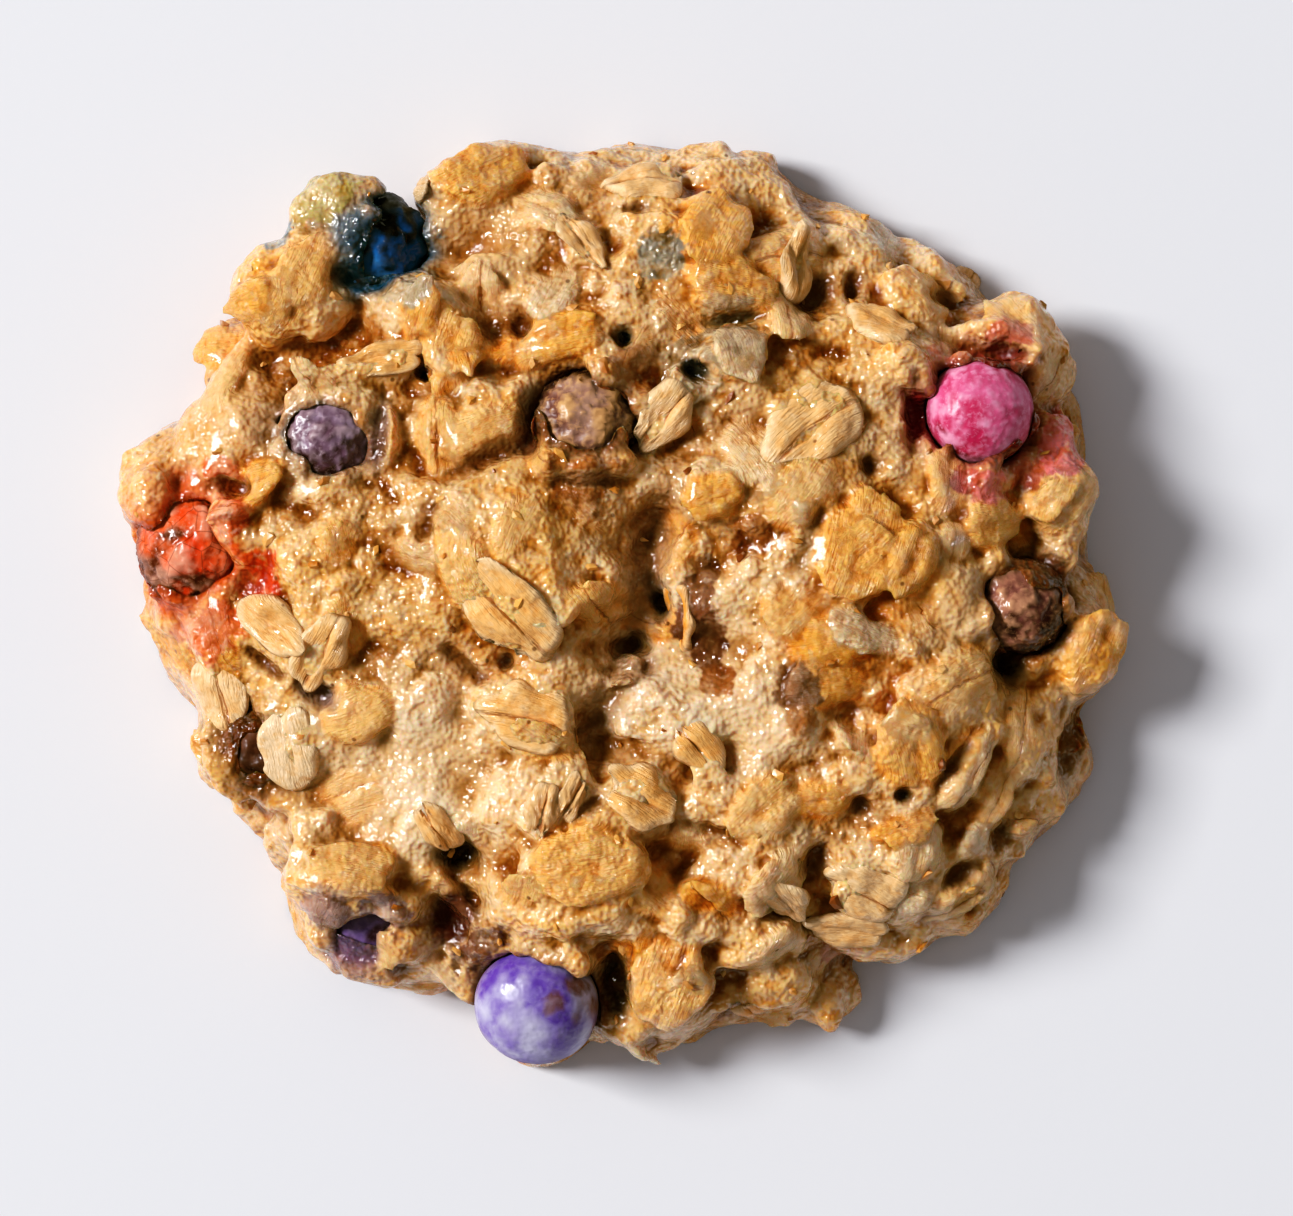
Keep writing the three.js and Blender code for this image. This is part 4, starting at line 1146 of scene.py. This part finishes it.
def crumb_shape(kind):
    """A crumb: a small knobbly chip of unit width."""
    mesh = ball("crumb_%d" % kind, 1, 0.5)
    points = points_of(mesh)
    points = points * (0.2 + 1.7 * cloud(points + 3, 0.22, kind + 50)[:, None])
    set_points(mesh, points * (1.2, 0.85, 0.6))
    return bpy.data.objects.new(mesh.name, mesh)


def crumb_material():
    material, tree, shader = food_material("baked_crumb")
    tone = toned(tree, told(tree, "tone"), (150, 84, 38), (218, 158, 86), (236, 190, 120), 0.3)
    sheen = grouped(tree, glaze, {"Patch": 600.0, "Dry": 0.5, "Wet": 0.3})
    colour = grouped(tree, browning, {
        "Colour": tone, "Deepening": 1.2, "Mottle": 0.8, "Grain": sheen["Grain"]})
    bump = node(tree, "ShaderNodeBump", {"Height": sheen["Grain"], "Strength": 0.4, "Distance": 0.2 * MM})
    feed(tree, shader, {
        "Base Color": colour["Colour"], "Roughness": sheen["Roughness"], "Coat Weight": sheen["Coat"],
        "Normal": bump.outputs[0], "Coat Roughness": 0.14})
    return material


crumb_shapes = shape_collection("crumb_shapes", [crumb_shape(kind) for kind in range(CRUMB_KINDS)])
crumb_room = open_room(dough_mesh, clear=0.8)
crumb_mesh = strewn(dough_mesh, crumb_room, crumb_shapes, spacing=4.2, sizes=(0.4, 1.1), flatness=0.9,
                    sink=0.05, tilt=0.6, seed=21, material=crumb_material())
crumbs = add_object("crumbs", crumb_mesh)
set_points(crumbs.data, np.maximum(points_of(crumbs.data), (-1, -1, 0)))
crumbs.data.shade_flat()
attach(crumbs, "root")

# Candies
# Sugar-shelled chocolates pressed into the heap before baking: the heat crazed and washed out the shells
# and let the chocolate swell through. Each sits in its own socket in the dough.
SHELL_ROUNDS = 6
SHELL_KEPT = 0.35

# How a candy is unless its own entry says otherwise: its lumps as a share of its width, how much is worn
# bare, how dark the painted shade stands at its foot, how cracked and how dull its shell is, and where it is
# chipped
USUAL_CANDY = dict(lumps=0.2, worn=0.5, low_shade_strength=1, cracks=0.0, dull=0.45, chips=())
# The shell's colour, washed out, worn bare and dusted; the side that is worn, the grain as a share of its
# width, how frosted it is and how high up the candy the painted shade at its foot reaches
CANDIES = {
    "candy_pink": dict(
        shell=(196, 44, 96), washed=(226, 112, 154), bare=(124, 14, 40), dust=(238, 166, 192),
        side=(-0.4, -0.5), grain=0.025, frost=0.75, wet=0.4, lumps=0.03, worn=0.2, low_shade_strength=0.7, dull=0.72),
    "candy_purple": dict(
        shell=(104, 68, 166), washed=(188, 184, 210), bare=(124, 80, 76), dust=(204, 198, 214),
        side=(0.5, 0.1), grain=0.006, frost=0.15, wet=0.3, lumps=0.03, worn=0.2, low_shade_strength=0.4, dull=0.58,
        chips=[(0.28, 0.06), (0.66, 0.34)]),
    "candy_orange": dict(
        shell=(236, 70, 22), washed=(230, 106, 62), bare=(92, 38, 20), dust=(226, 170, 142),
        side=(-0.2, -0.5), grain=0.09, frost=0.5, wet=0.45, low_shade_strength=0.8, cracks=0.5),
    "candy_blue": dict(
        shell=(16, 96, 156), washed=(56, 116, 156), bare=(16, 11, 10), dust=(60, 58, 52),
        side=(-0.6, 0.5), grain=0.07, frost=0.4, wet=0.35, lumps=0.4, worn=0.9, low_shade_strength=0.6),
    "candy_brown_top": dict(
        shell=(110, 66, 58), washed=(178, 142, 122), bare=(46, 15, 18), dust=(214, 166, 112),
        side=(-0.4, -0.5), grain=0.12, frost=0.75, wet=0.62),
    "candy_violet": dict(
        shell=(108, 76, 92), washed=(168, 146, 166), bare=(62, 32, 38), dust=(186, 162, 164),
        side=(-0.5, -0.6), grain=0.1, frost=0.5, wet=0.55),
    "candy_brown_side": dict(
        shell=(108, 60, 62), washed=(172, 122, 100), bare=(58, 24, 28), dust=(206, 158, 122),
        side=(0.5, -0.6), grain=0.1, frost=0.55, wet=0.72, lumps=0.18, worn=0.45),
    "candy_purple_low": dict(
        shell=(82, 48, 118), washed=(128, 104, 150), bare=(60, 26, 46), dust=(146, 124, 152),
        side=(0, -0.8), grain=0.03, frost=0.3, wet=0.6, lumps=0.22),
    # This candy stands in a dark brown hole between two oats: its dark colours are that hole's painted shade
    "candy_dark": dict(
        shell=(66, 32, 20), washed=(104, 62, 46), bare=(36, 14, 9), dust=(118, 76, 54),
        side=(0, -0.6), grain=0.03, frost=0.3, wet=0.6),
}


def knobs(points, patch, seed):
    """Random values like a cloud's, from two sizes of patch set askew, so that no grid shows."""
    askew = points @ np.array([[0.8, 0.36, 0.48], [-0.6, 0.48, 0.64], [0, -0.8, 0.6]])
    return 0.65 * cloud(points + 9, patch, seed) + 0.35 * cloud(askew + 9, 0.45 * patch, seed + 50)


def candy_mesh(name, candy):
    """A candy's shell: a fine ball set in its seat, swollen, grained, washed out in patches and painted
    darker at its foot as shade.
    """
    middle, directions, reach = candy_seats[name]
    mesh = ball(name + "_shell", SHELL_ROUNDS, 1)
    points = points_of(mesh)
    seed = CANDY_NAMES.index(name) + 30
    bumps = knobs(points, 0.3, seed + 1)
    grain = knobs(points, 0.09, seed + 2)
    swell = candy["lumps"] * (knobs(points, 0.7, seed) + 0.7 * bumps - 1) + candy["grain"] * (grain - 0.5)
    facing = points @ directions
    turned = facing[:, 0] * candy["side"][0] + facing[:, 1] * candy["side"][1]
    washed = np.clip(2.6 * knobs(points, 0.5, seed + 3) + 0.6 * grain - 1.15, 0, 1)
    worn = np.clip(6 * (knobs(points, 0.42, seed + 5) + 0.6 * candy["worn"] - 0.9) + 3 * turned, 0, 1)
    for across, up in candy["chips"]:
        away = np.hypot(facing[:, 0] - across, facing[:, 1] - up) + (facing[:, 2] < 0)
        worn = np.maximum(worn, np.clip(4.8 - 16 * away - 2.8 * grain, 0, 0.9))
    dusty = candy["frost"] * (np.clip(6 * bumps - 3.2, 0, 1) + np.clip(5 * grain - 2.8, 0, 0.6))
    # Painted shade: the candy darkens towards its foot, below the height set by wet, where it sinks into its
    # socket
    low_shade = candy["low_shade_strength"] * np.clip((candy["wet"] - facing[:, 2]) / 0.3 + 1.4 * (bumps - 0.5), 0, 1)
    tint = np.tile(linear(*candy["shell"]), (len(points), 1))
    for tone, share in (("washed", washed), ("bare", worn), ("dust", dusty), ("bare", low_shade)):
        tint = mixed(tint, linear(*candy[tone]), share)
    set_points(mesh, middle + (points * reach * (1 + swell)[:, None]) @ directions)
    put_colours(mesh, "tint", tint)
    thing = add_object("shell", mesh)
    thin_out(thing, SHELL_KEPT)
    return settled(thing)


def candy_material(name, candy):
    material, tree, shader = food_material(name + "_sugar")
    where = tree.nodes.new("ShaderNodeTexCoord").outputs["Object"]
    frost = ramp(tree, noise_of(tree, where, 2600.0, 4.0, 0.7), 0.5, 0.68, 0.6 * candy["frost"])
    colour = blend(tree, frost, told(tree, "tint", "Color"), paint(*candy["dust"]))
    if candy["cracks"]:
        crazing = node(tree, "ShaderNodeTexVoronoi", {"Vector": where, "Scale": 480.0},
                       feature="DISTANCE_TO_EDGE").outputs["Distance"]
        colour = blend(tree, ramp(tree, crazing, 0.035, 0.0, candy["cracks"]), colour, paint(*candy["bare"]))
    sheen = grouped(tree, glaze, {"Patch": 260.0, "Dry": candy["dull"], "Wet": 0.45 * candy["dull"]})
    bump = node(tree, "ShaderNodeBump", {"Height": sheen["Grain"], "Strength": 0.5, "Distance": 0.2 * MM})
    feed(tree, shader, {
        "Base Color": colour, "Roughness": sheen["Roughness"], "Normal": bump.outputs[0],
        "Specular IOR Level": 0.45})
    return material


for name in CANDY_NAMES:
    candy = {**USUAL_CANDY, **CANDIES[name]}
    piece = add_object(name + "_shell", candy_mesh(name, candy))
    piece.data.materials.append(candy_material(name, candy))
    piece.data.shade_smooth()
    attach(piece, "root")
    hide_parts(name)

# The shapes that were laid and strewn have done their work
for collection in (oat_shapes, blob_shapes, crumb_shapes):
    for shape in list(collection.objects):
        bpy.data.objects.remove(shape)
    bpy.data.collections.remove(collection)

# Stage
# A plain white table top, matt and a little grained, that the cookie lies on for its picture.
# One large soft light stands at the left, the room fills the shade, and the camera looks straight down.
FLOOR_SIZE = 3.0
LIGHT_PLACE = (-2.25, 0.65, 1.9)
LIGHT_SIZE = 0.9
LIGHT_POWER = 109.0
ROOM_LIGHT = 0.28
# What one pixel of the photograph measures, how wide that makes it, and where its middle is
PIXEL = 0.0795 * MM
FRAME_WIDTH = 1293 * PIXEL
MIDDLE = (21.5 * PIXEL, -6 * PIXEL)
MIDDLE_HEIGHT = 3.5 * MM
LENS = 100.0
SENSOR = 36.0

corners = FLOOR_SIZE * np.array([[-1, -1, 0], [1, -1, 0], [1, 1, 0], [-1, 1, 0]])
floor = add_object("floor", new_mesh("floor", corners, [[0, 1, 2], [0, 2, 3]]))
table, tree, shader = food_material("white_table")
grain = noise_of(tree, tree.nodes.new("ShaderNodeTexCoord").outputs["Object"], 900.0, 4.0)
bump = node(tree, "ShaderNodeBump", {"Height": grain, "Strength": 0.1, "Distance": 0.05 * MM})
feed(tree, shader, {"Base Color": (0.8, 0.81, 0.845, 1), "Roughness": 0.8, "Normal": bump.outputs[0]})
floor.data.materials.append(table)

key_data = bpy.data.lights.new("key", "AREA")
key_data.size = LIGHT_SIZE
key_data.energy = LIGHT_POWER
key = bpy.data.objects.new("key", key_data)
key.location = LIGHT_PLACE
key.rotation_euler = (-key.location).to_track_quat("-Z", "Y").to_euler()
bpy.context.scene.collection.objects.link(key)
world = bpy.data.worlds.new("studio")
world.use_nodes = True
room_light = world.node_tree.nodes["Background"]
feed(world.node_tree, room_light, {"Color": (1.0, 0.97, 0.98, 1), "Strength": ROOM_LIGHT})
world.cycles_visibility.glossy = False
bpy.context.scene.world = world
# The picture's contrast and its warm shade
picture = bpy.context.scene.view_settings
picture.view_transform = "Standard"
picture.use_curve_mapping = True
all_light = picture.curve_mapping.curves[3]
blue_light = picture.curve_mapping.curves[2]
for level, shown in ((0.05, 0.025), (0.2, 0.152), (0.5, 0.49)):
    all_light.points.new(level, shown)
for level, shown in ((0.03, 0.017), (0.08, 0.07), (0.2, 0.2)):
    blue_light.points.new(level, shown)
picture.curve_mapping.update()

camera_data = bpy.data.cameras.new("camera")
camera_data.lens = LENS
camera_data.sensor_width = SENSOR
camera = bpy.data.objects.new("camera", camera_data)
camera.location = (*MIDDLE, MIDDLE_HEIGHT + FRAME_WIDTH * LENS / SENSOR)
bpy.context.scene.collection.objects.link(camera)
bpy.context.scene.camera = camera
